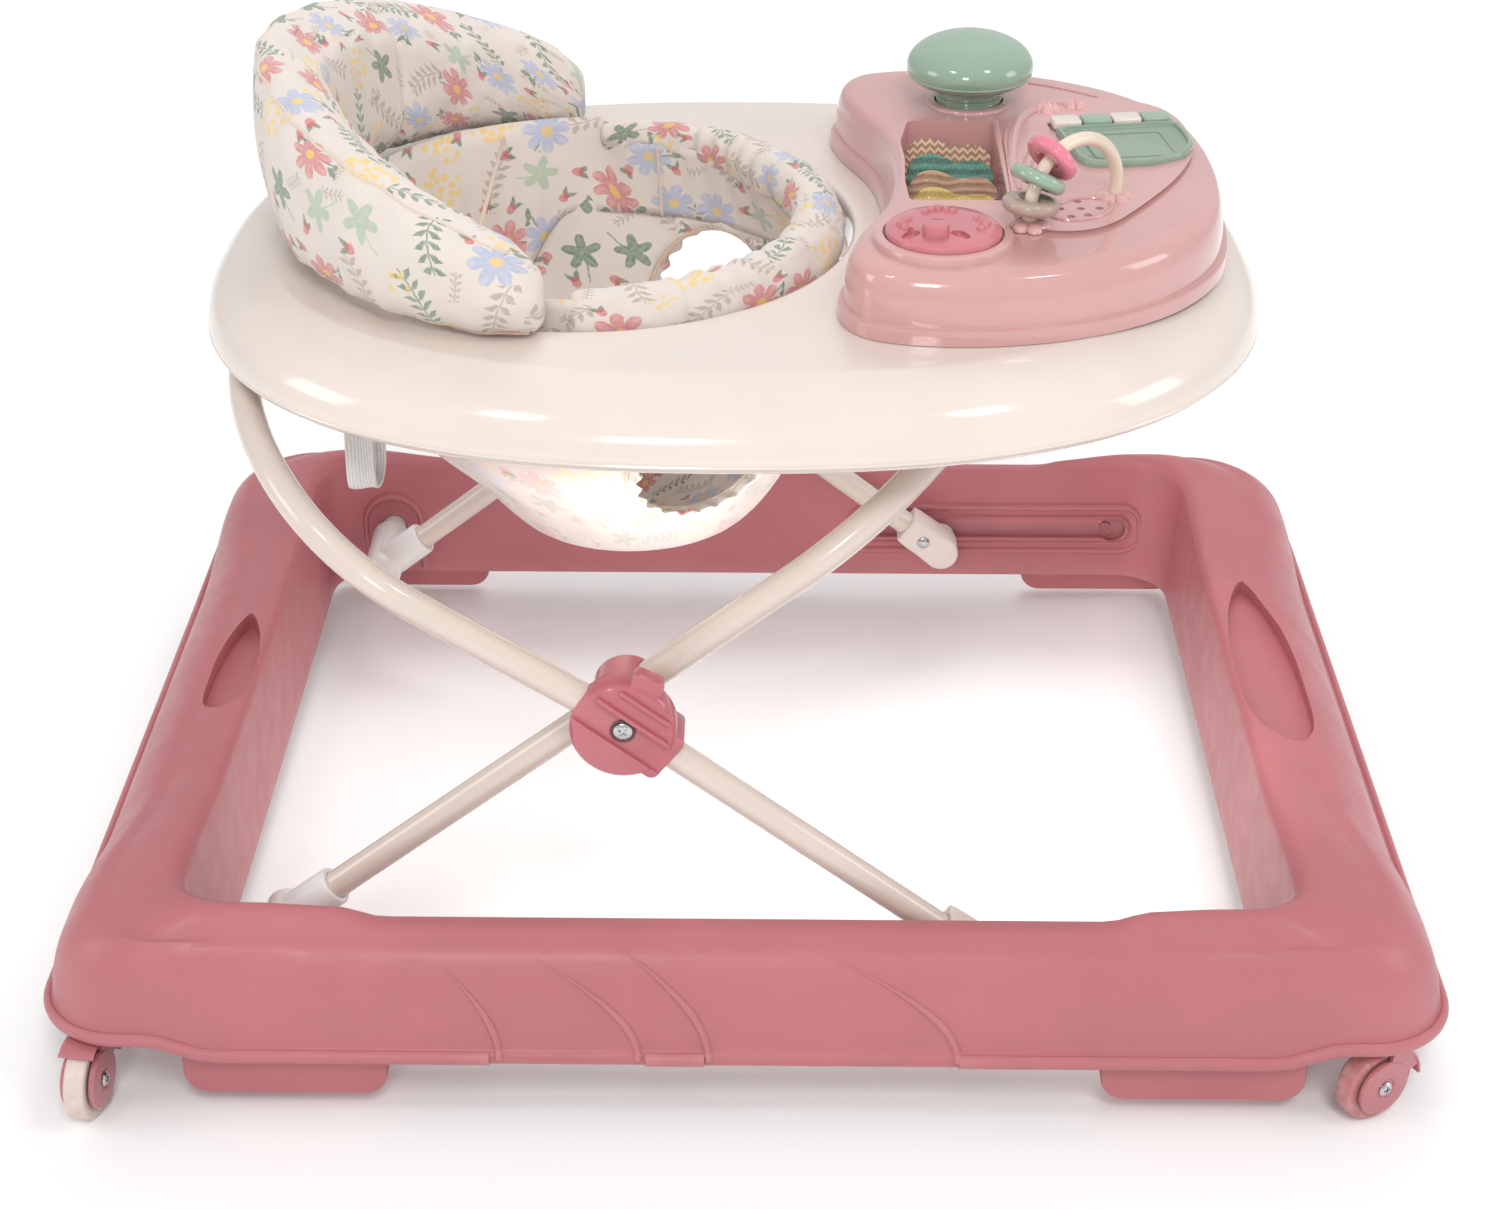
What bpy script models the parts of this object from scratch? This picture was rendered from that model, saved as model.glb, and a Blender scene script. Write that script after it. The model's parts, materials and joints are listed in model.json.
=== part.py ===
"""Folding baby walker: moulded base ring on four casters, scissor frame of two bent
tubes, oval tray, fabric seat and a lift-off play console.

Metres, +Z up, +X to the front (console side), origin on the floor under the middle.
"""
import math

import bmesh
import bpy
from mathutils import Matrix, Vector

# ---------------------------------------------------------------- driving dimensions
GAP = 0.0004                      # clearance between touching pieces

BASE_HALF = (0.351, 0.279)        # outer lip of the base ring
BASE_RADIUS = 0.042               # its corner radius, in plan
INNER_HALF = (0.277, 0.240)       # lower inner edge of the base ring
INNER_RADIUS = 0.030
RAIL_TOP = 0.104                  # rail height at mid side
CORNER_RISE = 0.004               # extra height at the corners
LIP_LOW = 0.037                   # lip height along the rails
LIP_HIGH = 0.047                  # lip height over the casters
SKIN = 0.003                      # wall of the mouldings

STEM = (0.326, 0.259)             # caster stem axis
SOCKET_TOP = 0.072                # end of the bore that holds a caster stem
CASTER_TRAIL = 0.0135
WHEEL_R = 0.021
WHEEL_W = 0.0105
CHEEK_R = 0.0188
CHEEK_T = 0.0026
CASTER_YAW = {                    # stem to wheel direction, degrees
    "front_near": 212.0, "rear_near": 262.0, "front_far": 148.0, "rear_far": 98.0}

PIVOT = Vector((-0.2385, 0.0, 0.058))      # lower pivot of the front leg
LEG_SLOPE = math.atan2(7.0, 9.0)          # both legs, open position
LEG_LOWER = 0.228                         # pivot to hub
LEG_UPPER = 0.245                         # hub to front crossbar
REAR_UPPER = 0.236                        # hub to rear crossbar
REAR_ELBOW = math.radians(5.0)            # rear leg flattens by this above its hub
REAR_LEG_Y = 0.2160                       # leg centre lines
FRONT_LEG_Y = 0.1880
TUBE_R = 0.0082                           # above the hub
TUBE_R_LOW = 0.0076                       # below the hub
FOLD_DEG = 22.0

TRAY_CENTRE_X = -0.0085
TRAY_HALF = (0.2720, 0.2210)
TRAY_POWER = 2.4                          # superellipse exponent
TRAY_LIP_Z = 0.3315
TRAY_TOP_Z = 0.3695
SEAT_X = -0.085                           # centre of the seat opening
SEAT_R = 0.1380

DECK_Z = 0.4040                            # top of the play console
CONSOLE_FOOT_Z = TRAY_TOP_Z + GAP
DIAL = Vector((0.094, -0.108, DECK_Z))
MUSHROOM = Vector((0.118, 0.092, DECK_Z))
ARCH_FEET = (Vector((0.1370, -0.0920, DECK_Z)), Vector((0.1815, -0.0550, DECK_Z)))
ARCH_RISE = 0.0380                         # deck to the top of its centre line
ARCH_TUBE_R = 0.0034
RING_OUTER_R = 0.0148
PAGE_WELL = (Vector((0.079, -0.056, 0.3775)), Vector((0.129, 0.060, 0.440)))
KEYS_CENTRE = Vector((0.1920, 0.0440, DECK_Z))   # middle of the keys' near edge
KEYS_TURN = math.radians(9.0)

LEG_DIR = Vector((math.cos(LEG_SLOPE), 0.0, math.sin(LEG_SLOPE)))
REAR_DIR = Vector((-LEG_DIR.x, 0.0, LEG_DIR.z))
HUB = PIVOT + LEG_DIR * LEG_LOWER
SLIDER = HUB - REAR_DIR * LEG_LOWER
REAR_UP_DIR = Vector((-math.cos(LEG_SLOPE - REAR_ELBOW), 0.0, math.sin(LEG_SLOPE - REAR_ELBOW)))
REAR_BAR = HUB + REAR_UP_DIR * REAR_UPPER
FRONT_BAR = HUB + LEG_DIR * LEG_UPPER
STRAP_X = -0.186
BAR_TRAVEL = (LEG_LOWER + LEG_UPPER) * (
    math.cos(LEG_SLOPE - math.radians(FOLD_DEG)) - math.cos(LEG_SLOPE))

PINK = (0.60, 0.20, 0.235)
PALE_PINK = (0.80, 0.42, 0.44)
CREAM = (0.86, 0.76, 0.66)
MINT = (0.33, 0.58, 0.44)
WHITE = (0.88, 0.86, 0.84)
STEEL = (0.62, 0.62, 0.62)
PRINT = (0.86, 0.78, 0.70)

# ---------------------------------------------------------------- scene helpers
for old in list(bpy.data.objects):
    bpy.data.objects.remove(old, do_unlink=True)


def collection(name):
    found = bpy.data.collections.new(name)
    bpy.context.scene.collection.children.link(found)
    return found


PARTS = collection("baby_walker")
CUTTERS = collection("cutters")


def finish(obj, colour, roughness=0.4, metallic=0.0, sharp=35.0):
    """Give a part its own material and smooth shading, and put it in the collection."""
    mat = bpy.data.materials.new(obj.name)
    mat.use_nodes = True
    shader = mat.node_tree.nodes["Principled BSDF"]
    shader.inputs["Base Color"].default_value = (*colour, 1.0)
    shader.inputs["Roughness"].default_value = roughness
    shader.inputs["Metallic"].default_value = metallic
    obj.data.materials.clear()
    obj.data.materials.append(mat)
    if obj.name not in PARTS.objects:
        for home in obj.users_collection:
            home.objects.unlink(obj)
        PARTS.objects.link(obj)
    if obj.type == "MESH":
        obj.data.shade_smooth()
        obj.data.set_sharp_from_angle(angle=math.radians(sharp))
    return obj


def as_cutter(obj):
    """Keep a shape only as a Boolean operand."""
    for home in obj.users_collection:
        home.objects.unlink(obj)
    CUTTERS.objects.link(obj)
    obj.hide_render = True
    obj.display_type = "WIRE"
    return obj


def boolean(obj, other, operation="DIFFERENCE"):
    mod = obj.modifiers.new(operation.lower(), "BOOLEAN")
    mod.operation = operation
    mod.solver = "EXACT"
    mod.object = as_cutter(other)
    return obj


def new_object(name, bm):
    mesh = bpy.data.meshes.new(name)
    bm.to_mesh(mesh)
    bm.free()
    obj = bpy.data.objects.new(name, mesh)
    PARTS.objects.link(obj)
    return obj


def aim(direction):
    """Rotation that turns +Z to a direction."""
    return Vector(direction).to_track_quat("Z", "Y").to_matrix().to_4x4()


def cylinder(name, radius, start, end, sides=24, radius_end=None):
    start, end = Vector(start), Vector(end)
    bm = bmesh.new()
    bmesh.ops.create_cone(
        bm, cap_ends=True, segments=sides, radius1=radius,
        radius2=radius if radius_end is None else radius_end, depth=(end - start).length)
    obj = new_object(name, bm)
    obj.matrix_world = Matrix.Translation((start + end) / 2) @ aim(end - start)
    return obj


def box(name, low, high, bevel=0.0, segments=2):
    low, high = Vector(low), Vector(high)
    bm = bmesh.new()
    bmesh.ops.create_cube(bm, size=1.0)
    bmesh.ops.scale(bm, vec=high - low, verts=bm.verts)
    obj = new_object(name, bm)
    obj.location = (low + high) / 2
    if bevel:
        mod = obj.modifiers.new("round", "BEVEL")
        mod.width = bevel
        mod.segments = segments
    return obj


def turned(name, profile, place, direction, steps=24):
    """Turn a profile of (radius, height), listed top to bottom, about a direction."""
    mesh = bpy.data.meshes.new(name)
    verts = [(r, 0.0, z) for r, z in profile]
    mesh.from_pydata(verts, [(i, i + 1) for i in range(len(verts) - 1)], [])
    obj = bpy.data.objects.new(name, mesh)
    PARTS.objects.link(obj)
    mod = obj.modifiers.new("turn", "SCREW")
    mod.steps = steps
    mod.render_steps = steps
    mod.use_merge_vertices = True
    mod.merge_threshold = 0.0001
    obj.matrix_world = Matrix.Translation(place) @ aim(direction)
    return obj


def loft(name, rings, caps=False):
    """Skin closed rings of equal point count, outside facing out."""
    bm = bmesh.new()
    rows = [[bm.verts.new(p) for p in ring] for ring in rings]
    count = len(rings[0])
    for lower, upper in zip(rows, rows[1:]):
        for i in range(count):
            j = (i + 1) % count
            bm.faces.new((lower[i], lower[j], upper[j], upper[i]))
    if caps:
        bm.faces.new(list(reversed(rows[0])))
        bm.faces.new(rows[-1])
        bmesh.ops.recalc_face_normals(bm, faces=bm.faces)
    return new_object(name, bm)


def closed_loft(name, rings):
    """Skin rings that follow a closed or open run of sections into one solid."""
    return loft(name, rings, caps=True)


def solidify(obj, thickness, offset=-1.0):
    mod = obj.modifiers.new("wall", "SOLIDIFY")
    mod.thickness = thickness
    mod.offset = offset
    mod.use_even_offset = True
    return obj


def tube(name, points, radii, resolution=2):
    """A bent tube as a mesh: a poly curve with filled caps, welded."""
    curve = bpy.data.curves.new(name + "_path", "CURVE")
    curve.dimensions = "3D"
    curve.bevel_depth = 1.0
    curve.bevel_resolution = resolution
    curve.use_fill_caps = True
    spline = curve.splines.new("POLY")
    spline.points.add(len(points) - 1)
    for point, place, radius in zip(spline.points, points, radii):
        point.co = (*place, 1.0)
        point.radius = radius
    path = bpy.data.objects.new(name + "_path", curve)
    PARTS.objects.link(path)
    depsgraph = bpy.context.evaluated_depsgraph_get()
    mesh = bpy.data.meshes.new_from_object(path.evaluated_get(depsgraph))
    bpy.data.objects.remove(path, do_unlink=True)
    bm = bmesh.new()
    bm.from_mesh(mesh)
    bmesh.ops.remove_doubles(bm, verts=bm.verts, dist=1e-6)
    bmesh.ops.recalc_face_normals(bm, faces=bm.faces)
    return new_object(name, bm)


def smooth_step(t):
    t = min(max(t, 0.0), 1.0)
    return t * t * (3.0 - 2.0 * t)


def spline_loop(points, per_span=4):
    """Closed Catmull-Rom curve through 2D points."""
    out = []
    count = len(points)
    for i in range(count):
        p0, p1, p2, p3 = (Vector(points[(i + k - 1) % count]) for k in range(4))
        for step in range(per_span):
            t = step / per_span
            out.append(0.5 * ((2 * p1) + (p2 - p0) * t + (2 * p0 - 5 * p1 + 4 * p2 - p3) * t * t
                              + (3 * p1 - p0 - 3 * p2 + p3) * t ** 3))
    return out


def inset_loop(loop, distance):
    """Move a counter-clockwise 2D loop inwards along its normals."""
    count = len(loop)
    out = []
    for i in range(count):
        tangent = (loop[(i + 1) % count] - loop[i - 1]).normalized()
        out.append(loop[i] + Vector((-tangent.y, tangent.x)) * distance)
    return out


# ---------------------------------------------------------------- base
SIDE_STEPS = (8, 6)
CORNER_STEPS = 5


def rounded_rectangle(half, radius):
    """Counter-clockwise outline from the middle of the +X side, with matching stations."""
    hx, hy = half
    out = []
    straight = {0: hy - radius, 1: hx - radius}
    for side in range(4):
        turn = side * math.pi / 2
        reach = (hx, hy)[side % 2]
        run = straight[side % 2]
        steps = SIDE_STEPS[(side + 1) % 2]
        for i in range(steps):
            along = -run + 2 * run * i / steps
            out.append(Vector((
                math.cos(turn) * reach - math.sin(turn) * along,
                math.sin(turn) * reach + math.cos(turn) * along)))
        centre = Vector((
            math.cos(turn) * (reach - radius) - math.sin(turn) * run,
            math.sin(turn) * (reach - radius) + math.cos(turn) * run))
        for i in range(CORNER_STEPS):
            angle = turn + math.pi / 2 * i / CORNER_STEPS
            out.append(centre + Vector((math.cos(angle), math.sin(angle))) * radius)
    return out


def base_ring():
    """One open sheet from the outer lip over the rail and down its inner wall."""
    outer = rounded_rectangle(BASE_HALF, BASE_RADIUS)
    inner = rounded_rectangle(INNER_HALF, INNER_RADIUS)
    # (share of the way from lip to inner edge, share of the way from base to top)
    section = (
        (0.00, 0.00), (-0.01, 0.08), (0.05, 0.13), (0.10, 0.32), (0.22, 0.60), (0.42, 0.83),
        (0.67, 0.96), (0.87, 1.00), (0.94, 0.95), (0.965, 0.80), (1.00, 0.00))
    rings = []
    for across, up in section:
        ring = []
        for start, stop in zip(outer, inner):
            corner = smooth_step((abs(start.x) - 0.235) / 0.06) * smooth_step(
                (abs(start.y) - 0.13) / 0.09)
            lip = LIP_LOW + (LIP_HIGH - LIP_LOW) * smooth_step((abs(start.x) - 0.262) / 0.035)
            foot = lip if across < 0.5 else 0.025
            top = RAIL_TOP + CORNER_RISE * corner
            place = start.lerp(stop, across * (1.0 - 0.55 * corner * (1.0 - across)))
            ring.append(Vector((place.x, place.y, foot + (top - foot) * up)))
        rings.append(ring)
    obj = solidify(loft("base_ring", rings), SKIN)
    for side in (-1, 1):
        pivot_y = side * INNER_HALF[1]
        boolean(obj, cylinder("cut_pivot", 0.0082, (PIVOT.x, pivot_y - 0.016, PIVOT.z),
                              (PIVOT.x, pivot_y + 0.016, PIVOT.z)))
        slot = box("cut_slot", (0.072, pivot_y - 0.016, SLIDER.z - 0.0054),
                   (0.236, pivot_y + 0.016, SLIDER.z + 0.0054))
        boolean(obj, slot)
        boolean(obj, cylinder("cut_entry", 0.0085, (0.236, pivot_y - 0.016, SLIDER.z + 0.001),
                              (0.236, pivot_y + 0.016, SLIDER.z + 0.001)))
    for x_sign in (-1, 1):
        for y_sign in (-1, 1):
            stem = Vector((x_sign * STEM[0], y_sign * STEM[1], 0.0))
            boolean(obj, cylinder("cut_socket", 0.0072, stem + Vector((0, 0, 0.0470)),
                                  stem + Vector((0, 0, 0.0820)), 16), "UNION")
            boolean(obj, cylinder("cut_socket_bore", 0.0042, stem + Vector((0, 0, 0.040)),
                                  stem + Vector((0, 0, SOCKET_TOP)), 12))
    return finish(obj, PINK, 0.45)


def stop_block(name, x_sign, y_sign):
    """Pad with round lower corners; its upper part fits up between the rail's walls."""
    centre_x, half_x = x_sign * 0.229, 0.051
    low_z, high_z = 0.011, 0.042
    outline = [(centre_x - half_x, high_z), (centre_x - half_x + 0.001, low_z + 0.012),
               (centre_x - half_x + 0.004, low_z + 0.004), (centre_x - half_x + 0.013, low_z),
               (centre_x + half_x - 0.013, low_z), (centre_x + half_x - 0.004, low_z + 0.004),
               (centre_x + half_x - 0.001, low_z + 0.012), (centre_x + half_x, high_z)]
    wall = INNER_HALF[1]
    rings = [[Vector((x, y_sign * y, z)) for x, z in outline] for y in (wall - 0.0020, 0.2715)]
    obj = closed_loft(name, rings)
    notch = sorted((y_sign * (wall - 0.01), y_sign * (wall + SKIN + 0.0022)))
    boolean(obj, box("cut_notch", (centre_x - 0.06, notch[0], 0.0240), (centre_x + 0.06, notch[1], 0.06)))
    return finish(obj, PINK, 0.5)


# ---------------------------------------------------------------- casters
def caster(label, x_sign, y_sign):
    """Fork with two cheek discs and a stem, wheel between them, axle screw through."""
    stem = Vector((x_sign * STEM[0], y_sign * STEM[1], 0.0))
    yaw = math.radians(CASTER_YAW[label])
    ahead = Vector((math.cos(yaw), math.sin(yaw), 0.0))
    side = Vector((-ahead.y, ahead.x, 0.0))
    hub = stem + ahead * CASTER_TRAIL + Vector((0.0, 0.0, WHEEL_R))
    inner_face = WHEEL_W / 2 + 0.0005
    outer_face = inner_face + CHEEK_T

    fork = cylinder("caster_fork_" + label, CHEEK_R, hub - side * outer_face, hub + side * outer_face, 20)
    slot = cylinder("cut_wheel", WHEEL_R + 0.0012, hub - side * inner_face, hub + side * inner_face, 24)
    yoke = cylinder("cut_yoke", 0.0072, stem + Vector((0, 0, 0.020)), stem + Vector((0, 0, 0.0445)), 16)
    boolean(fork, yoke, "UNION")
    boolean(fork, cylinder("cut_stem", 0.0038, stem + Vector((0, 0, 0.040)),
                           stem + Vector((0, 0, SOCKET_TOP - 0.001)), 12), "UNION")
    boolean(fork, slot)
    boolean(fork, cylinder("cut_axle", 0.0026, hub - side * 0.02, hub + side * 0.02, 12))
    finish(fork, PINK, 0.2)

    half = WHEEL_W / 2
    wheel = turned("caster_wheel_" + label, (
        (0.0026, half), (WHEEL_R - 0.0022, half), (WHEEL_R - 0.0006, half - 0.0010),
        (WHEEL_R, half - 0.0028), (WHEEL_R, 0.0028 - half), (WHEEL_R - 0.0006, 0.0010 - half),
        (WHEEL_R - 0.0022, -half), (0.0026, -half), (0.0026, half)), hub, side, 20)
    finish(wheel, (0.70, 0.60, 0.54), 0.5)

    reach = outer_face + GAP
    axle = turned("caster_axle_" + label, (
        (0.0, reach + 0.0014), (0.0030, reach + 0.0011), (0.0041, reach + 0.0003), (0.0041, reach),
        (0.0022, reach), (0.0022, -reach), (0.0041, -reach), (0.0041, -reach - 0.0003),
        (0.0030, -reach - 0.0011), (0.0, -reach - 0.0014)), hub, side, 10)
    finish(axle, STEEL, 0.25, 1.0)


# ---------------------------------------------------------------- scissor frame
def u_tube_points(lower, upper, reach, leg_y, bend_start, flat_y):
    """Half of a U: straight leg, elliptic bend, crossbar, then mirrored.

    Each place is a distance from the hub, below it along lower, above it along upper.
    """
    half = [(-(LEG_LOWER - 0.0135), leg_y), (-LEG_LOWER / 2, leg_y), (-0.015, leg_y), (0.0, leg_y)]
    steps = 10
    for i in range(steps + 1):
        angle = math.pi / 2 * i / steps
        half.append((bend_start + (reach - bend_start) * math.sin(angle),
                     flat_y + (leg_y - flat_y) * math.cos(angle)))
    run = half + [(s, -y) for s, y in reversed(half)]
    points = [HUB + (lower if s < 0 else upper) * s + Vector((0.0, -y, 0.0)) for s, y in run]
    radii = [TUBE_R_LOW if s < -0.012 else TUBE_R for s, _ in run]
    return points, radii


def leg_tubes():
    rear = tube("rear_leg_tube", *u_tube_points(REAR_DIR, REAR_UP_DIR, REAR_UPPER, REAR_LEG_Y, 0.118, 0.045))
    front = tube("front_leg_tube", *u_tube_points(LEG_DIR, LEG_DIR, LEG_UPPER, FRONT_LEG_Y, 0.102, 0.045))
    for obj, leg_y in ((rear, REAR_LEG_Y), (front, FRONT_LEG_Y)):
        for side in (-1, 1):
            boolean(obj, cylinder("cut_rivet", 0.0036, HUB + Vector((0, side * leg_y - 0.02, 0)),
                                  HUB + Vector((0, side * leg_y + 0.02, 0)), 16))
        finish(obj, CREAM, 0.25)


def hubs(label, side):
    """Outer shell on the rear leg, inner shell on the front leg, rivet through both."""
    split = (REAR_LEG_Y + FRONT_LEG_Y) / 2
    for name, y_low, y_high, leg_y, direction, radius in (
            ("hub_outer_" + label, split + 0.0003, REAR_LEG_Y + 0.0130, REAR_LEG_Y, REAR_DIR, 0.0260),
            ("hub_inner_" + label, FRONT_LEG_Y - 0.0130, split - 0.0003, FRONT_LEG_Y, LEG_DIR, 0.0252)):
        shell = cylinder(name, radius, HUB + Vector((0, side * y_low, 0)),
                         HUB + Vector((0, side * y_high, 0)), 24)
        centre = HUB + Vector((0, side * leg_y, 0))
        above = REAR_UP_DIR if direction == REAR_DIR else direction
        boolean(shell, cylinder("cut_leg", TUBE_R + GAP, centre - direction * 0.04,
                                centre + direction * 0.001, 16))
        boolean(shell, cylinder("cut_leg_above", TUBE_R + GAP, centre - above * 0.001,
                                centre + above * 0.04, 16))
        boolean(shell, cylinder("cut_rivet", 0.0036, HUB + Vector((0, side * (y_low - 0.01), 0)),
                                HUB + Vector((0, side * (y_high + 0.01), 0)), 16))
        finish(shell, PINK, 0.3)
    inner_face = FRONT_LEG_Y - 0.0130 - GAP
    outer_face = REAR_LEG_Y + 0.0130 + GAP
    middle = (inner_face + outer_face) / 2
    half = outer_face - middle
    rivet = turned("hub_rivet_" + label, (
        (0.0, half + 0.0022), (0.0035, half + 0.0018), (0.0056, half + 0.0006), (0.0056, half),
        (0.0032, half), (0.0032, -half), (0.0056, -half), (0.0056, -half - 0.0006),
        (0.0035, -half - 0.0018), (0.0, -half - 0.0022)),
        HUB + Vector((0, side * middle, 0)), (0, side, 0), 16)
    finish(rivet, STEEL, 0.25, 1.0)


def pivot_boss(label, side):
    """White elbow: sleeve over the front leg's end and a stub in the base ring's hole."""
    leg = PIVOT + Vector((0, side * FRONT_LEG_Y, 0))
    obj = cylinder("pivot_boss_" + label, 0.0120, leg - Vector((0, side * 0.010, 0)),
                   leg + Vector((0, side * 0.040, 0)))
    boolean(obj, cylinder("cut_stub", 0.0078, leg + Vector((0, side * 0.030, 0)),
                          leg + Vector((0, side * 0.0585, 0)), 20), "UNION")
    boolean(obj, cylinder("cut_sleeve", 0.0105, leg, leg + LEG_DIR * 0.034, 20), "UNION")
    boolean(obj, cylinder("cut_bore", TUBE_R_LOW + GAP, leg + LEG_DIR * 0.0131,
                          leg + LEG_DIR * 0.05, 16))
    return finish(obj, WHITE, 0.4)


def slider(label, side):
    """Clevis on the rear leg's end with a pin that runs in the base ring's slot."""
    leg = SLIDER + Vector((0, side * REAR_LEG_Y, 0))
    clevis = cylinder("slider_clevis_" + label, 0.0110, leg - Vector((0, side * 0.0100, 0)),
                      leg + Vector((0, side * 0.0100, 0)))
    boolean(clevis, cylinder("cut_pin", 0.0036, leg + Vector((0, side * 0.0050, 0)),
                             leg + Vector((0, side * 0.0290, 0)), 16), "UNION")
    boolean(clevis, cylinder("cut_sleeve", 0.0098, leg, leg + REAR_DIR * 0.032, 20), "UNION")
    boolean(clevis, cylinder("cut_bore", TUBE_R_LOW + GAP, leg + REAR_DIR * 0.0131,
                             leg + REAR_DIR * 0.05, 16))
    finish(clevis, CREAM, 0.4)
    low, high = 0.0104, 0.0166
    middle = SLIDER + Vector((0, side * (REAR_LEG_Y + (low + high) / 2), 0))
    half = (high - low) / 2
    roller = turned("slider_roller_" + label, (
        (0.0040, half), (0.0090, half), (0.0098, half - 0.001), (0.0098, 0.001 - half),
        (0.0090, -half), (0.0040, -half), (0.0040, half)), middle, (0, side, 0), 20)
    finish(roller, WHITE, 0.4)


# ---------------------------------------------------------------- tray
def tray_outline(angle, inset=0.0):
    c, s = math.cos(angle), math.sin(angle)
    power = 2.0 / TRAY_POWER
    return Vector((
        TRAY_CENTRE_X + (TRAY_HALF[0] - inset) * math.copysign(abs(c) ** power, c),
        (TRAY_HALF[1] - inset) * math.copysign(abs(s) ** power, s)))


def tray_shell():
    """Open sheet: rolled outer lip, round shoulder, flat top, hem into the seat opening."""
    count = 44
    shoulder = (
        (0.0050, TRAY_LIP_Z), (0.0010, TRAY_LIP_Z + 0.003), (0.0000, TRAY_LIP_Z + 0.009),
        (0.0035, TRAY_LIP_Z + 0.0195), (0.0120, TRAY_LIP_Z + 0.0295), (0.0230, TRAY_LIP_Z + 0.0350),
        (0.0340, TRAY_TOP_Z))
    hem = ((SEAT_R + 0.004, TRAY_TOP_Z), (SEAT_R, TRAY_TOP_Z - 0.003), (SEAT_R - 0.001, TRAY_TOP_Z - 0.016))
    angles = [2 * math.pi * i / count for i in range(count)]
    rings = [[Vector((*tray_outline(a, inset), z)) for a in angles] for inset, z in shoulder]
    for radius, z in hem:
        ring = []
        for a in angles:
            toward = (tray_outline(a) - Vector((SEAT_X, 0.0))).normalized()
            ring.append(Vector((SEAT_X + toward.x * radius, toward.y * radius, z)))
        rings.append(ring)
    return finish(solidify(loft("tray_shell", rings), SKIN), CREAM, 0.2)


def tray_fittings():
    """Clips over the rear crossbar, slotted rack for the front one, and the height lock."""
    ceiling = TRAY_TOP_Z - SKIN - 0.0015
    for label, y in (("near", -0.019), ("far", 0.019)):
        clip = box("rear_bar_clip_" + label, (REAR_BAR.x - 0.0005, y - 0.0095, REAR_BAR.z - 0.015),
                   (REAR_BAR.x + 0.0125, y + 0.0095, REAR_BAR.z + 0.014), 0.002)
        outer = cylinder("cut_saddle", 0.0130, REAR_BAR + Vector((0, y - 0.0095, 0)),
                         REAR_BAR + Vector((0, y + 0.0095, 0)))
        boolean(clip, outer, "UNION")
        boolean(clip, cylinder("cut_bar", TUBE_R + 0.0005, REAR_BAR + Vector((0, y - 0.02, 0)),
                               REAR_BAR + Vector((0, y + 0.02, 0)), 20))
        finish(clip, CREAM, 0.4)
    front, back = FRONT_BAR.x + BAR_TRAVEL + 0.0125, FRONT_BAR.x - 0.016
    rack = box("front_bar_rack", (back, -0.040, FRONT_BAR.z - 0.014), (front, 0.040, ceiling), 0.002)
    boolean(rack, box("cut_track", (FRONT_BAR.x, -0.05, FRONT_BAR.z - TUBE_R - 0.001),
                      (FRONT_BAR.x + BAR_TRAVEL, 0.05, FRONT_BAR.z + TUBE_R + 0.001)))
    for x in (FRONT_BAR.x, FRONT_BAR.x + BAR_TRAVEL):
        boolean(rack, cylinder("cut_track_end", TUBE_R + 0.001, (x, -0.05, FRONT_BAR.z),
                               (x, 0.05, FRONT_BAR.z), 20))
    boolean(rack, box("cut_middle", (back - 0.01, -0.028, FRONT_BAR.z - 0.03),
                      (front + 0.01, 0.028, ceiling - 0.006)))
    finish(rack, CREAM, 0.4)
    lever = box("height_lock", (FRONT_BAR.x - 0.010, -0.020, FRONT_BAR.z - 0.0220),
                (FRONT_BAR.x + 0.034, 0.020, FRONT_BAR.z - 0.0145), 0.002)
    finish(lever, PINK, 0.35)


# ---------------------------------------------------------------- seat
def back_cushion():
    """C-shaped pad: upright oval sections swept round the rear of the opening."""
    spans, around = 20, 14
    reach = math.radians(90)
    rings = []
    for i in range(spans + 1):
        share = -1.0 + 2.0 * i / spans
        angle = math.pi + reach * share
        taper = 1.0 - abs(share) ** 6 * 0.55
        drop = abs(share) ** 1.9
        bottom = TRAY_TOP_Z + 0.0006
        top = 0.4640 - 0.066 * drop
        half_t, half_h = 0.0165 * taper, (top - bottom) / 2
        radius = 0.1465 - 0.006 * drop
        ring = []
        for k in range(around):
            phase = 2 * math.pi * k / around
            c, s = math.cos(phase), math.sin(phase)
            off = half_t * math.copysign(abs(c) ** 0.75, c)
            up = bottom + half_h + half_h * math.copysign(abs(s) ** 0.65, s)
            out = radius + off + 0.004 * (up - bottom) / 0.09
            ring.append(Vector((SEAT_X + math.cos(angle) * out, math.sin(angle) * out, up)))
        rings.append(ring)
    return finish(closed_loft("back_cushion", rings), PRINT, 0.9, sharp=80)


def collar_pad():
    """Thin padded roll along the front of the opening, between the cushion's wings."""
    spans, around = 20, 10
    reach = math.radians(82)
    rings = []
    for i in range(spans + 1):
        share = -1.0 + 2.0 * i / spans
        angle = reach * share
        slim = 1.0 - abs(share) ** 8 * 0.5
        ring = []
        for k in range(around):
            phase = 2 * math.pi * k / around
            out = 0.1200 + 0.0130 * slim * math.cos(phase) - 0.0040 * math.sin(phase)
            up = 0.3680 + 0.0150 * slim * math.sin(phase)
            ring.append(Vector((SEAT_X + math.cos(angle) * out, math.sin(angle) * out, up)))
        rings.append(ring)
    return finish(closed_loft("collar_pad", rings), PRINT, 0.9, sharp=80)


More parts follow.
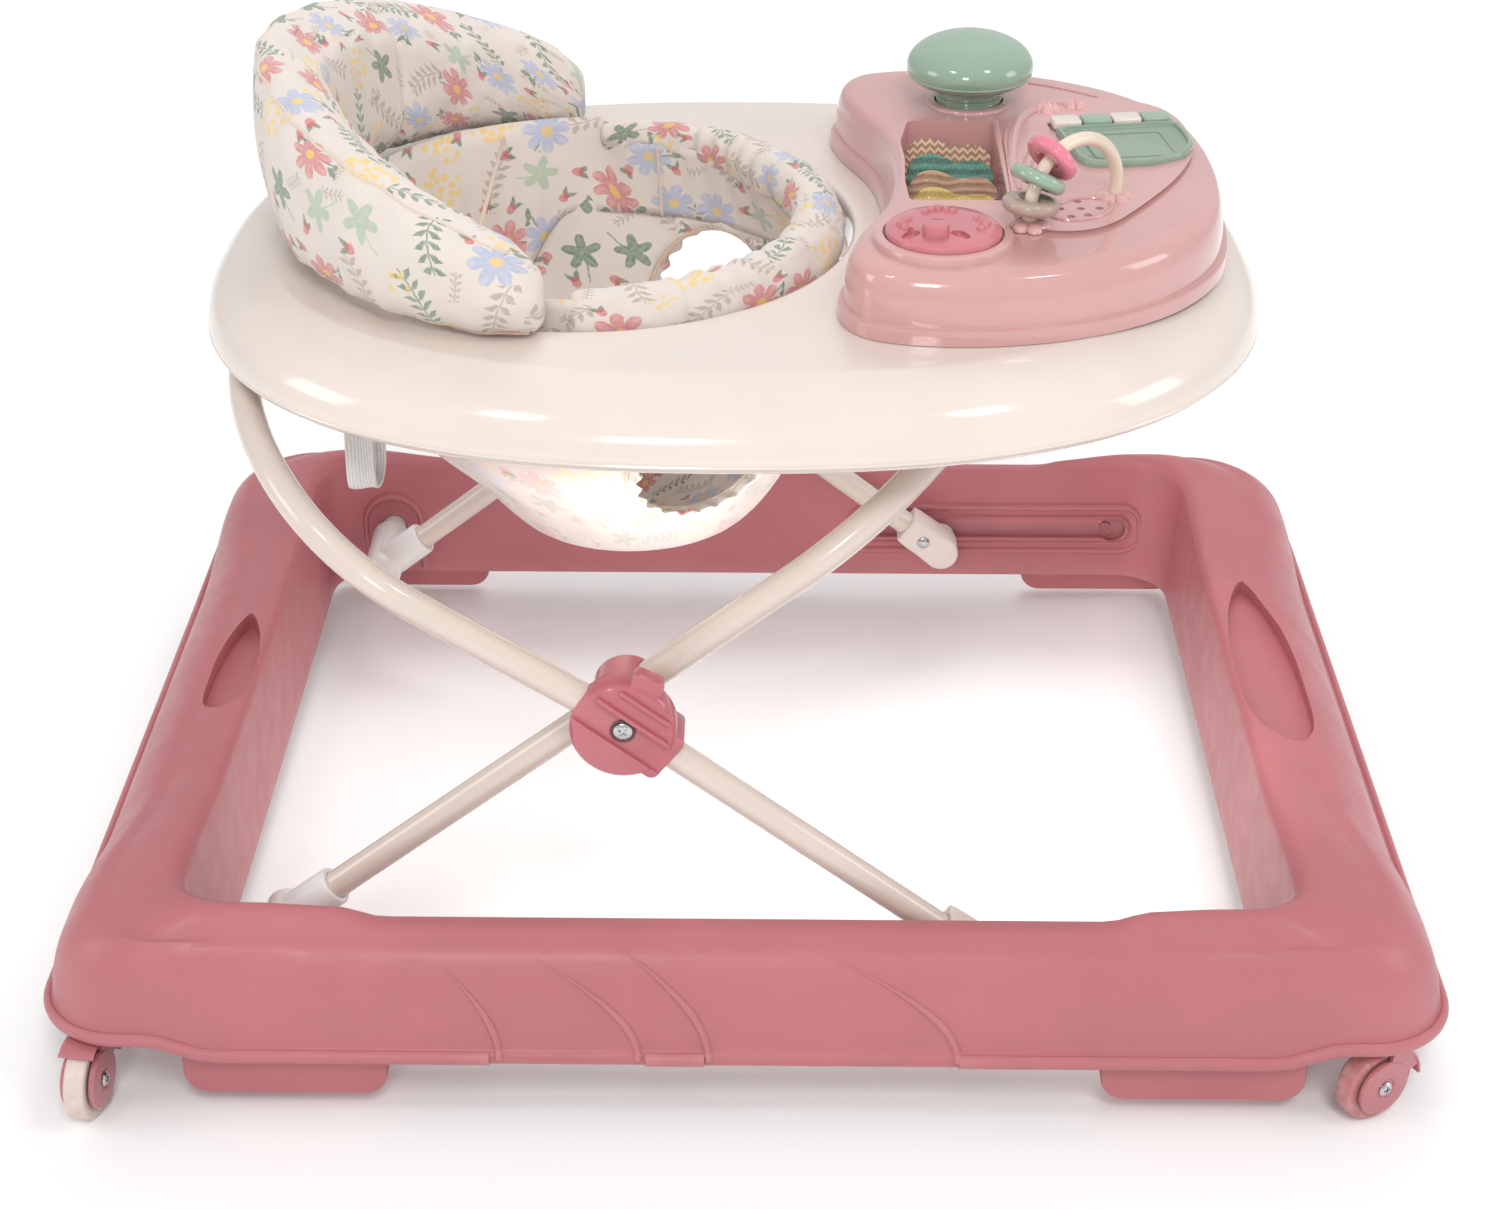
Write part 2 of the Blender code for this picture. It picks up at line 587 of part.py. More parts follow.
def seat_sling():
    """Fabric bowl hung inside the opening, with two leg holes at the front."""
    count = 24
    levels = ((0.1300, 0.1300, 0.0, 0.3480), (0.1240, 0.1200, 0.0, 0.3200), (0.1080, 0.0980, -0.006, 0.2750),
              (0.0940, 0.0720, -0.010, 0.2350), (0.0720, 0.0480, -0.014, 0.2050),
              (0.0400, 0.0240, -0.016, 0.1930))
    rings = []
    for rx, ry, shift, z in reversed(levels):
        rings.append([Vector((SEAT_X + shift + rx * math.cos(2 * math.pi * i / count),
                              ry * math.sin(2 * math.pi * i / count), z)) for i in range(count)])
    bm_obj = loft("seat_sling", rings)
    bm = bmesh.new()
    bm.from_mesh(bm_obj.data)
    floor = [v for v in bm.verts if v.co.z < levels[-1][3] + 1e-5]
    floor.sort(key=lambda v: math.atan2(v.co.y, v.co.x - SEAT_X + 0.016))
    bm.faces.new(list(reversed(floor)))
    bm.to_mesh(bm_obj.data)
    bm.free()
    solidify(bm_obj, 0.003)
    for side in (-1, 1):
        boolean(bm_obj, cylinder("cut_leg_hole", 0.040, (-0.070, side * 0.035, 0.262),
                                 (0.050, side * 0.130, 0.262), 20))
    return finish(bm_obj, PRINT, 0.9)


def seat_strap():
    """Webbing loop that hangs from the tray behind the seat."""
    profile = [(0.0, 0.0), (0.012, -0.035), (0.013, -0.066), (0.004, -0.072),
               (-0.004, -0.067), (-0.003, -0.036), (-0.006, 0.0)]
    points = [Vector((0.0, -0.145 + y, 0.3500 + z)) for y, z in profile]
    rings = [[p + Vector((STRAP_X - 0.007, 0, 0)) for p in points],
             [p + Vector((STRAP_X + 0.007, 0, 0)) for p in points]]
    bm = bmesh.new()
    rows = [[bm.verts.new(p) for p in ring] for ring in rings]
    for i in range(len(points) - 1):
        bm.faces.new((rows[0][i], rows[1][i], rows[1][i + 1], rows[0][i + 1]))
    obj = solidify(new_object("seat_strap", bm), 0.0016, 0.0)
    return finish(obj, WHITE, 0.6)


# ---------------------------------------------------------------- play console
CONSOLE_HALF = ((0.0690, 0.000), (0.0640, 0.048), (0.0480, 0.094), (0.0440, 0.126), (0.0590, 0.149),
                (0.0960, 0.157), (0.1370, 0.153), (0.1750, 0.139), (0.2095, 0.113), (0.2345, 0.074),
                (0.2440, 0.028))


def console_loop():
    """Counter-clockwise crescent outline."""
    far = list(CONSOLE_HALF[::-1])
    near = [(x, -y) for x, y in CONSOLE_HALF[1:]]
    return spline_loop(far + near, 2)


def console_shell():
    """Stepped crescent cover, open below, with the page well sunk in it."""
    loop = console_loop()
    steps = ((0.0, CONSOLE_FOOT_Z), (0.0003, CONSOLE_FOOT_Z + 0.007), (0.0026, CONSOLE_FOOT_Z + 0.0085),
             (0.0036, CONSOLE_FOOT_Z + 0.0205), (0.0062, DECK_Z - 0.0042), (0.0105, DECK_Z - 0.0008),
             (0.0165, DECK_Z))
    rings = [[Vector((*p, z)) for p in inset_loop(loop, inset)] for inset, z in steps]
    obj = loft("console_shell", rings)
    bm = bmesh.new()
    bm.from_mesh(obj.data)
    bmesh.ops.contextual_create(bm, geom=[e for e in bm.edges if e.is_boundary
                                          and e.verts[0].co.z > DECK_Z - 1e-5])
    bm.to_mesh(obj.data)
    bm.free()
    solidify(obj, 0.0025)
    low, high = PAGE_WELL
    wall = Vector((0.0022, 0.0022, 0.0))
    boolean(obj, box("cut_well_wall", low - wall - Vector((0, 0, 0.0022)),
                     Vector((high.x + 0.0022, high.y + 0.0022, DECK_Z - 0.001))), "UNION")
    boolean(obj, box("cut_well", low, high))
    boolean(obj, cylinder("cut_boss", 0.0345, DIAL - Vector((0, 0, 0.0015)),
                          DIAL + Vector((0, 0, 0.0040)), 28, 0.0325), "UNION")
    boolean(obj, cylinder("cut_dial", 0.0293, DIAL + Vector((0, 0, 0.0006)),
                          DIAL + Vector((0, 0, 0.02)), 28))
    boolean(obj, cylinder("cut_spindle", 0.0040, DIAL - Vector((0, 0, 0.02)),
                          DIAL + Vector((0, 0, 0.02)), 16))
    boolean(obj, cylinder("cut_collar", 0.0235, MUSHROOM - Vector((0, 0, 0.0015)),
                          MUSHROOM + Vector((0, 0, 0.0030)), 28, 0.0215), "UNION")
    boolean(obj, cylinder("cut_plunger", 0.0188, MUSHROOM - Vector((0, 0, 0.02)),
                          MUSHROOM + Vector((0, 0, 0.02)), 28))
    return finish(obj, PALE_PINK, 0.15)


def console_base_plate():
    """Plate that closes the console from below, inside the cover's wall."""
    loop = inset_loop(console_loop(), 0.0034)
    z_low, z_high = CONSOLE_FOOT_Z, CONSOLE_FOOT_Z + 0.0022
    obj = closed_loft("console_base_plate", [[Vector((*p, z)) for p in loop] for z in (z_low, z_high)])
    return finish(obj, WHITE, 0.5)


def console_insides():
    """Circuit board, speaker and battery door."""
    floor = CONSOLE_FOOT_Z + 0.0022 + GAP
    finish(box("circuit_board", (0.145, -0.050, floor), (0.215, 0.050, floor + 0.0016)), (0.05, 0.22, 0.10))
    speaker = turned("speaker", (
        (0.0, 0.0090), (0.0165, 0.0090), (0.0165, 0.0060), (0.0095, 0.0040), (0.0095, 0.0), (0.0, 0.0)),
        Vector((0.160, -0.0735, floor)), (0, 0, 1), 20)
    finish(speaker, (0.05, 0.05, 0.05), 0.6)
    finish(box("battery_door", (0.155, 0.070, floor), (0.195, 0.108, floor + 0.014), 0.0015), PALE_PINK, 0.3)


def mushroom_button():
    """Domed cap on a plunger that slides down into the console."""
    obj = turned("mushroom_button", (
        (0.0, 0.0385), (0.0120, 0.0375), (0.0225, 0.0335), (0.0310, 0.0270), (0.0345, 0.0205),
        (0.0335, 0.0150), (0.0270, 0.0105), (0.0180, 0.0090), (0.0180, -0.0180), (0.0, -0.0180)),
        MUSHROOM, (0, 0, 1), 24)
    return finish(obj, MINT, 0.25)


def dial():
    """Turning disc with a grip bar and a spindle."""
    obj = turned("dial", (
        (0.0, 0.0090), (0.0050, 0.0088), (0.0070, 0.0076), (0.0265, 0.0072), (0.0283, 0.0058),
        (0.0283, 0.0012), (0.0036, 0.0012), (0.0036, -0.0080), (0.0, -0.0080)), DIAL, (0, 0, 1), 24)
    return finish(obj, PINK, 0.3)


def pages():
    """Four wavy leaves on hinges across the well."""
    shades = ((0.62, 0.50, 0.38), (0.14, 0.30, 0.23), (0.40, 0.28, 0.20), (0.62, 0.48, 0.18))
    half_w, height, lean = 0.0225, 0.0240, math.radians(28)
    for number, shade in enumerate(shades, 1):
        y = 0.0290 - 0.0240 * (number - 1)
        hinge = Vector((0.104, y, 0.3805))
        up = Vector((0.0, math.sin(lean), math.cos(lean)))
        out = Vector((0.0, math.cos(lean), -math.sin(lean)))
        rings = []
        for i in range(13):
            x = -half_w + 2 * half_w * i / 12
            wave = 0.0011 * math.sin(3 * math.pi * x / half_w)
            corners = ((-1, 0), (-1, 1), (1, 1), (1, 0))
            rings.append([Vector((x, 0, 0)) + up * height * v + out * (0.0016 * u + wave * v)
                          for u, v in corners])
        obj = closed_loft("page_%d" % number, rings)
        obj.location = hinge
        finish(obj, shade, 0.7)


def arch_frame():
    left, right = ARCH_FEET
    centre = (left + right) / 2
    along = (right - left).normalized()
    half = (right - left).length / 2
    radius = (half ** 2 + ARCH_RISE ** 2) / (2 * ARCH_RISE)
    return centre + Vector((0, 0, ARCH_RISE - radius)), along, radius


def bead_arch():
    """Round bar of more than half a circle, its ends just above the deck."""
    centre, along, radius = arch_frame()
    points = []
    steps = 16
    sink = math.asin((ARCH_RISE - radius - 0.0012) / radius)
    for i in range(steps + 1):
        angle = -sink + (math.pi + 2 * sink) * i / steps
        points.append(centre - along * radius * math.cos(angle)
                      + Vector((0, 0, radius * math.sin(angle))))
    return finish(tube("bead_arch", points, [ARCH_TUBE_R] * len(points), 2), CREAM, 0.3)


def rings():
    centre, along, radius = arch_frame()
    half = 0.0038
    for number, (angle_deg, shade) in enumerate(
            ((8, (0.42, 0.36, 0.32)), (32, MINT), (56, (0.72, 0.28, 0.36))), 1):
        angle = math.radians(angle_deg)
        place = centre + Vector((0, 0, radius * math.sin(angle))) - along * radius * math.cos(angle)
        direction = along * math.sin(angle) + Vector((0, 0, math.cos(angle)))
        obj = turned("ring_%d" % number, (
            (0.0047, 0.0018), (0.0066, half), (0.0112, half - 0.0002), (RING_OUTER_R, 0.0013),
            (RING_OUTER_R, -0.0013), (0.0112, 0.0002 - half), (0.0066, -half), (0.0047, -0.0018),
            (0.0047, 0.0018)), place, direction, 18)
        finish(obj, shade, 0.3)


def key_panel():
    """Mint pad and four keys along its far edge, turned together on the deck."""
    outline = ((-0.0330, -0.0010), (-0.0310, -0.0500), (-0.0270, -0.0550), (0.0020, -0.0580),
               (0.0240, -0.0500), (0.0320, -0.0400), (0.0360, -0.0230), (0.0350, -0.0030), (0.0325, -0.0010))
    panel = closed_loft("key_panel", [
        [Vector((x * share, (y + 0.029) * share - 0.029, z)) for x, y in outline]
        for share, z in ((1.0, GAP), (1.0, 0.0038), (0.95, 0.0054))])
    blocks = [(panel, MINT)]
    for number in range(1, 5):
        x = -0.0330 + 0.0163 * (number - 1)
        key = box("key_%d" % number, (x + 0.0004, -0.0002, 0.0022), (x + 0.0159, 0.0135, 0.0078), 0.0012)
        blocks.append((key, CREAM if number % 2 else MINT))
    turn = Matrix.Rotation(KEYS_TURN, 4, "Z")
    for obj, colour in blocks:
        obj.matrix_world = Matrix.Translation(KEYS_CENTRE) @ turn @ Matrix.Translation(obj.location)
        finish(obj, colour, 0.3)


# ---------------------------------------------------------------- assembly
def build():
    base_ring()
    for end, x_sign in (("front", 1), ("rear", -1)):
        for label, y_sign in (("near", -1), ("far", 1)):
            stop_block("stop_block_%s_%s" % (end, label), x_sign, y_sign)
            caster("%s_%s" % (end, label), x_sign, y_sign)
    leg_tubes()
    for label, side in (("near", -1), ("far", 1)):
        hubs(label, side)
        pivot_boss(label, side)
        slider(label, side)
    tray_shell()
    tray_fittings()
    back_cushion()
    collar_pad()
    seat_sling()
    seat_strap()
    console_shell()
    console_base_plate()
    console_insides()
    mushroom_button()
    dial()
    pages()
    bead_arch()
    rings()
    key_panel()


build()
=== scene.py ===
"""Looks of a folding baby walker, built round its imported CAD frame.

Everything is in metres in the frame's own axes: +X to the play console, +Y to the far
side, +Z up, the floor at zero. Sizes that the CAD fixes are read from the frame.
"""
import json
import math

import bmesh
import bpy
from mathutils import Matrix, Vector, noise
from mathutils.bvhtree import BVHTree


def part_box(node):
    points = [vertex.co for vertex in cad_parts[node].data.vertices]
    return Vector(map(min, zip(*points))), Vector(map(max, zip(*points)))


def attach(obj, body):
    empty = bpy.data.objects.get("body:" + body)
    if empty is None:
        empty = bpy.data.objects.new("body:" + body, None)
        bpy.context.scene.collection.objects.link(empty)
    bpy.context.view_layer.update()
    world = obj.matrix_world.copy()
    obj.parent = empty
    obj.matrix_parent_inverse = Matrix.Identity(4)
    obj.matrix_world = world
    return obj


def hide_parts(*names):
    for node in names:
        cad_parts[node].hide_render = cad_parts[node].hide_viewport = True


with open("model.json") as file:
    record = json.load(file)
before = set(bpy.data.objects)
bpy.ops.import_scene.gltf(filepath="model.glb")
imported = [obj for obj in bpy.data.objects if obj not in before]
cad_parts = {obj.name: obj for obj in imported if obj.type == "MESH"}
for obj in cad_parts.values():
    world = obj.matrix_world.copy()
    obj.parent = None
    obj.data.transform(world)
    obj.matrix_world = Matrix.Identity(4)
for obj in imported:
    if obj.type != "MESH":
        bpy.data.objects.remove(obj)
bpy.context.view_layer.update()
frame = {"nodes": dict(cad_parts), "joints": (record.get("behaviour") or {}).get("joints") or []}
NODES = frame["nodes"]
JOINTS = {joint["name"]: joint for joint in frame["joints"]}
SIDES = (("near", -1), ("far", 1))
CORNERS = [(end + "_" + side, sx, sy) for end, sx in (("front", 1), ("rear", -1))
           for side, sy in SIDES]


def joint_place(name):
    return Vector(JOINTS[name]["pos_m"])


def node_centre(name):
    low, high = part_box(name)
    return (low + high) / 2


PIVOT = joint_place("leg_fold")
HUB = joint_place("hub_pivot")
REAR_BAR = joint_place("tray_pivot")
SLIDER = joint_place("roller_spin_near")
DIAL = joint_place("dial_turn")
MUSHROOM = node_centre("mushroom_button")
LEG_DIR = (HUB - PIVOT).normalized()
REAR_DIR = (HUB - SLIDER).normalized()
REAR_UP_DIR = (REAR_BAR - HUB).normalized()

PINK = (0.440, 0.142, 0.157)
DEEP_PINK = (0.46, 0.120, 0.145)
PALE_PINK = (0.575, 0.318, 0.306)
CREAM = (0.70, 0.618, 0.560)
TUBE_CREAM = (0.64, 0.545, 0.480)
MINT = (0.27, 0.385, 0.290)
WHITE = (0.74, 0.72, 0.70)
TAUPE = (0.40, 0.30, 0.25)
ROSE = (0.66, 0.19, 0.25)


# ---------------------------------------------------------------- shader nodes
class Net:
    """Short-hand for building a shader's node tree."""

    def __init__(self, name):
        self.material = bpy.data.materials.new(name)
        self.material.use_nodes = True
        self.tree = self.material.node_tree
        self.shader = self.tree.nodes["Principled BSDF"]

    def node(self, kind, **settings):
        made = self.tree.nodes.new(kind)
        for key, value in settings.items():
            setattr(made, key, value)
        return made

    def feed(self, socket, value):
        if isinstance(value, Sig):
            value = value.socket
        if isinstance(value, bpy.types.NodeSocket):
            self.tree.links.new(value, socket)
        else:
            socket.default_value = value

    def math(self, operation, *values):
        made = self.node("ShaderNodeMath", operation=operation)
        for socket, value in zip(made.inputs, values):
            self.feed(socket, value)
        return Sig(self, made.outputs[0])

    def vector_math(self, operation, *values, out=0):
        made = self.node("ShaderNodeVectorMath", operation=operation)
        for socket, value in zip(made.inputs, values):
            self.feed(socket, value)
        return made.outputs[out]

    def noise(self, scale, detail=3.0, vector=None, roughness=0.5):
        made = self.node("ShaderNodeTexNoise")
        made.inputs["Scale"].default_value = scale
        made.inputs["Detail"].default_value = detail
        made.inputs["Roughness"].default_value = roughness
        self.feed(made.inputs["Vector"], vector if vector is not None else self.place("Object"))
        return Sig(self, made.outputs[0])

    def place(self, kind):
        return self.node("ShaderNodeTexCoord").outputs[kind]

    def ramp(self, value, low, high, start=0.0, stop=1.0):
        made = self.node("ShaderNodeMapRange", interpolation_type="SMOOTHSTEP")
        for socket, item in zip(made.inputs, (value, low, high, start, stop)):
            self.feed(socket, item)
        return Sig(self, made.outputs[0])

    def mix(self, share, first, second, blend="MIX"):
        made = self.node("ShaderNodeMix", data_type="RGBA", blend_type=blend)
        self.feed(made.inputs[0], share)
        for socket, colour in ((made.inputs[6], first), (made.inputs[7], second)):
            self.feed(socket, (*colour, 1.0) if isinstance(colour, tuple) else colour)
        return made.outputs[2]

    def bump(self, height, strength, distance, below=None):
        made = self.node("ShaderNodeBump")
        made.inputs["Strength"].default_value = strength
        made.inputs["Distance"].default_value = distance
        self.feed(made.inputs["Height"], height)
        if below is not None:
            self.feed(made.inputs["Normal"], below)
        return made.outputs[0]

    def split(self, vector):
        made = self.node("ShaderNodeSeparateXYZ")
        self.feed(made.inputs[0], vector)
        return [Sig(self, out) for out in made.outputs]

    def join(self, x, y, z=0.0):
        made = self.node("ShaderNodeCombineXYZ")
        for socket, value in zip(made.inputs, (x, y, z)):
            self.feed(socket, value)
        return made.outputs[0]

    def set(self, **values):
        for key, value in values.items():
            self.feed(self.shader.inputs[key.replace("_", " ")], value)
        return self.material


class Sig:
    """A scalar in a node tree that takes part in arithmetic."""

    def __init__(self, net, socket):
        self.net, self.socket = net, socket

    def __add__(self, other):
        return self.net.math("ADD", self, other)

    def __radd__(self, other):
        return self.net.math("ADD", other, self)

    def __sub__(self, other):
        return self.net.math("SUBTRACT", self, other)

    def __rsub__(self, other):
        return self.net.math("SUBTRACT", other, self)

    def __mul__(self, other):
        return self.net.math("MULTIPLY", self, other)

    def __rmul__(self, other):
        return self.net.math("MULTIPLY", other, self)

    def __truediv__(self, other):
        return self.net.math("DIVIDE", self, other)

    def __pow__(self, other):
        return self.net.math("POWER", self, other)

    def at_most(self, other):
        return self.net.math("MINIMUM", self, other)

    def at_least(self, other):
        return self.net.math("MAXIMUM", self, other)

    def below(self, edge):
        return self.net.math("LESS_THAN", self, edge)

    def above(self, edge):
        return self.net.math("GREATER_THAN", self, edge)

    def size(self):
        return self.net.math("ABSOLUTE", self)

    def sine(self):
        return self.net.math("SINE", self)

    def cosine(self):
        return self.net.math("COSINE", self)


# The first value sets how far sharp convex edges are lightened towards white, as a painted highlight.
EDGE_HIGHLIGHT_SHARE, WEAVE_PITCH = 0.10, 0.00055


def plastic(name, colour, roughness=0.3, coat=0.0, grain=0.10, mottle=0.05):
    """Moulded plastic: faint flow marks in colour, orange-peel bump, convex edges lightened as a painted
    highlight.
    """
    net = Net(name)
    flow = net.noise(14.0, 4.0)
    fine = net.noise(900.0, 2.0)
    peel = net.noise(110.0, 2.0)
    dark = tuple(c * (1.0 - mottle) for c in colour)
    light = tuple(min(1.0, c * (1.0 + mottle)) for c in colour)
    body = net.mix(net.ramp(flow, 0.35, 0.65), dark, light)
    # Painted highlight: convex edges, picked out by pointiness, are lightened towards white.
    edges = Sig(net, net.node("ShaderNodeNewGeometry").outputs["Pointiness"])
    painted_edge_highlight = net.ramp(edges, 0.52, 0.62, 0.0, EDGE_HIGHLIGHT_SHARE)
    pale = tuple(c + (1.0 - c) * 0.45 for c in colour)
    body = net.mix(painted_edge_highlight, body, pale)
    normal = net.bump(fine, grain, 0.0002)
    normal = net.bump(peel, grain * 0.6, 0.0006, normal)
    net.set(Base_Color=body, Roughness=net.ramp(net.noise(60.0, 3.0), 0.3, 0.7,
                                                roughness - 0.04, roughness + 0.06), Normal=normal)
    net.shader.inputs["Coat Weight"].default_value = coat
    net.shader.inputs["Coat Roughness"].default_value = 0.08
    net.shader.inputs["Subsurface Weight"].default_value = 0.06
    net.shader.inputs["Subsurface Radius"].default_value = (0.004, 0.002, 0.0015)
    net.shader.inputs["Subsurface Scale"].default_value = 0.5
    return net.material


def screw_steel(name):
    net = Net(name)
    scratch = net.noise(700.0, 4.0, net.vector_math("MULTIPLY", net.place("Object"), (1.0, 1.0, 0.12)))
    net.set(Base_Color=net.mix(scratch, (0.45, 0.45, 0.46), (0.72, 0.72, 0.73)), Metallic=1.0,
            Roughness=net.ramp(scratch, 0.2, 0.8, 0.18, 0.36), Normal=net.bump(scratch, 0.15, 0.0002))
    return net.material


def rubber(name, colour):
    net = Net(name)
    dust = net.noise(130.0, 5.0)
    speck = net.noise(1500.0, 2.0)
    pale = tuple(c + (1.0 - c) * 0.15 for c in colour)
    net.set(Base_Color=net.mix(net.ramp(dust, 0.35, 0.7), colour, pale), Roughness=0.62,
            Normal=net.bump(speck, 0.3, 0.0003))
    return net.material


def woven(net):
    """Plain weave bump from the piece's own cloth coordinates."""
    u, v, _ = net.split(net.place("UV"))
    turn = 2.0 * math.pi / WEAVE_PITCH
    weave = (u * turn).sine() * (v * turn).sine()
    return net.bump(weave, 0.35, 0.0002)


def webbing_material(name):
    net = Net(name)
    u, v, _ = net.split(net.place("UV"))
    rib = (u * (2.0 * math.pi / 0.0016)).sine() + (v * (2.0 * math.pi / 0.0011)).sine() * 0.6
    tint = net.ramp(rib, -1.4, 1.4, 0.0, 1.0)
    net.set(Base_Color=net.mix(tint, (0.66, 0.63, 0.61), (0.90, 0.88, 0.86)), Roughness=0.75,
            Normal=net.bump(rib, 0.6, 0.0004))
    net.shader.inputs["Sheen Weight"].default_value = 0.3
    return net.material


PRINT_PINK = (0.60, 0.13, 0.15)
PRINT_BLUE = (0.26, 0.38, 0.66)
PRINT_YELLOW = (0.83, 0.58, 0.17)
PRINT_GREEN = (0.09, 0.20, 0.13)
PRINT_SAGE = (0.36, 0.50, 0.36)
PRINT_TWIG = (0.34, 0.25, 0.22)
GROUND = (0.72, 0.650, 0.595)


def printed_cloth(name, ground=GROUND, strength=1.0):
    """Cotton with a small-flower print. One cell grid carries large motifs, a finer one the fillers."""
    net = Net(name)
    cloth = net.place("UV")
    wobble = net.node("ShaderNodeTexNoise")
    wobble.inputs["Scale"].default_value = 260.0
    net.feed(wobble.inputs["Vector"], cloth)
    shift = net.vector_math("SCALE", net.vector_math("SUBTRACT", wobble.outputs["Color"], (0.5, 0.5, 0.5)))
    shift.node.inputs["Scale"].default_value = 0.0022
    hand_drawn = net.vector_math("ADD", cloth, shift)

    def cells(vector, pitch, offset, random):
        made = net.node("ShaderNodeTexVoronoi", voronoi_dimensions="2D", feature="F1")
        made.inputs["Scale"].default_value = 1.0 / pitch
        made.inputs["Randomness"].default_value = random
        net.feed(made.inputs["Vector"], net.vector_math("ADD", vector, offset))
        return made

    def local(grid, offset):
        """Coordinates about the motif's centre, turned by its own random angle."""
        away = net.vector_math("SUBTRACT", net.vector_math("ADD", hand_drawn, offset),
                               grid.outputs["Position"])
        x, y, _ = net.split(away)
        dice, pick, third = net.split(grid.outputs["Color"])
        angle = dice * (2.0 * math.pi)
        c, s = angle.cosine(), angle.sine()
        return x * c + y * s, y * c - x * s, pick, third

    def radius_of(x, y):
        return net.math("SQRT", x * x + y * y)

    def inside(amount, soft=0.0004):
        """1 where the amount is above zero, with a brush-like edge."""
        return net.ramp(amount, -soft, soft)

    def between(value, low, high):
        return value.above(low) * value.below(high)

    def flower(x, y, petals, reach):
        r = radius_of(x, y)
        angle = net.math("ARCTAN2", y, x)
        lobe = (angle * (petals / 2.0)).cosine().size()
        edge = reach * (0.34 + 0.66 * lobe ** 0.55)
        vein = net.ramp((angle * petals).cosine(), 0.2, 1.0) * net.ramp(r, reach * 0.2, reach * 0.9)
        return inside(edge - r), vein, inside(reach * 0.24 - r)

    def leaf(x, y, length, width):
        """A pointed oval from the origin along +x."""
        along = (x / length).at_least(0.0).at_most(1.0)
        half = (along * math.pi).sine() * (1.12 - along * 0.45) * (width / 2.0)
        return inside(half - y.size()) * between(x, 0.0, length)

    def turned(x, y, degrees):
        c, s = math.cos(math.radians(degrees)), math.sin(math.radians(degrees))
        return x * c + y * s, y * c - x * s

    def sprig(x, y, length, pitch, leaf_long, leaf_wide):
        """A stem with pairs of leaves that lean forward."""
        bent = y - x * x * 9.0
        stem = inside(0.00042 - bent.size()) * between(x, -length / 2, length / 2)
        turns = x / pitch
        step = (turns - net.math("FLOOR", turns)) * pitch
        lean = step - bent.size() * 0.85
        half = (bent.size() / leaf_long).at_most(1.0)
        blade = (half * math.pi).sine() * (leaf_wide / 2.0)
        leaves = inside(blade - (lean - pitch * 0.30).size()) * between(
            x, -length / 2, length / 2 - pitch * 0.3) * bent.size().below(leaf_long)
        return stem.at_least(leaves)

    big_offset, small_offset = (0.013, 0.021, 0.0), (0.107, 0.068, 0.0)
    big_pitch = 0.0310
    big = cells(hand_drawn, big_pitch, big_offset, 0.42)
    x, y, pick, third = local(big, big_offset)
    colour = ground
    tone = net.ramp(net.noise(420.0, 3.0, cloth), 0.3, 0.75, 0.72, 1.0)

    def paint(base, mask, shade, amount=1.0):
        return net.mix(mask * tone * (amount * strength), base, shade)

    # flowers with a leafy stalk
    blooms = pick.below(0.36)
    petal, vein, eye = flower(x, y, 7.0, 0.0128)
    stalk_x = x * -1.0
    stalk = inside(0.0005 - (y + x * x * 14.0).size()) * between(stalk_x, 0.008, 0.0205)
    lx, ly = turned(stalk_x - 0.0115, y, 38.0)
    rx, ry = turned(stalk_x - 0.0135, y, -42.0)
    greens = stalk.at_least(leaf(lx, ly, 0.0085, 0.0046)).at_least(leaf(rx, ry, 0.0080, 0.0042))
    colour = paint(colour, greens * blooms, PRINT_GREEN, 0.85)
    rosy = blooms * third.below(0.52)
    bluish = blooms * third.above(0.52)
    colour = paint(colour, petal * rosy, PRINT_PINK, 0.80)
    colour = paint(colour, petal * bluish, PRINT_BLUE, 0.62)
    colour = paint(colour, petal * vein * blooms, (0.92, 0.80, 0.76), 0.20)
    colour = paint(colour, eye * blooms, PRINT_YELLOW, 0.9)
    # leafy twigs, brown or green
    twigs = between(pick, 0.36, 0.66)
    twig = sprig(x, y, 0.036, 0.0054, 0.0078, 0.0040)
    colour = paint(colour, twig * twigs * third.below(0.55), PRINT_TWIG, 0.62)
    colour = paint(colour, twig * twigs * third.above(0.55), PRINT_GREEN, 0.82)
    # lobed ivy leaves on a thin stalk
    ivies = between(pick, 0.66, 0.84)
    r, angle = radius_of(x, y), net.math("ARCTAN2", y, x)
    star = (angle * 2.5).cosine().size() ** 1.7
    ivy = inside(0.0102 * (0.42 + 0.58 * star) - r)
    midrib = inside(0.0003 - (angle * 2.5).sine().size() * r)
    tendril = inside(0.0004 - (x + y * y * 16.0).size()) * between(y, 0.004, 0.016)
    colour = paint(colour, ivy.at_least(tendril) * ivies * third.below(0.5), PRINT_GREEN, 0.85)
    colour = paint(colour, ivy.at_least(tendril) * ivies * third.above(0.5), PRINT_SAGE, 0.80)
    colour = paint(colour, ivy * midrib * ivies, (0.70, 0.72, 0.60), 0.35)
    # sprays of small yellow blossom
    sprays = pick.above(0.84)
    dots = cells(hand_drawn, 0.0058, (0.3, 0.1, 0.0), 0.8)
    dot = inside(0.0021 - Sig(net, dots.outputs["Distance"]) * 0.0058) * radius_of(x, y).below(0.0125)
    colour = paint(colour, dot * sprays, PRINT_YELLOW, 0.85)

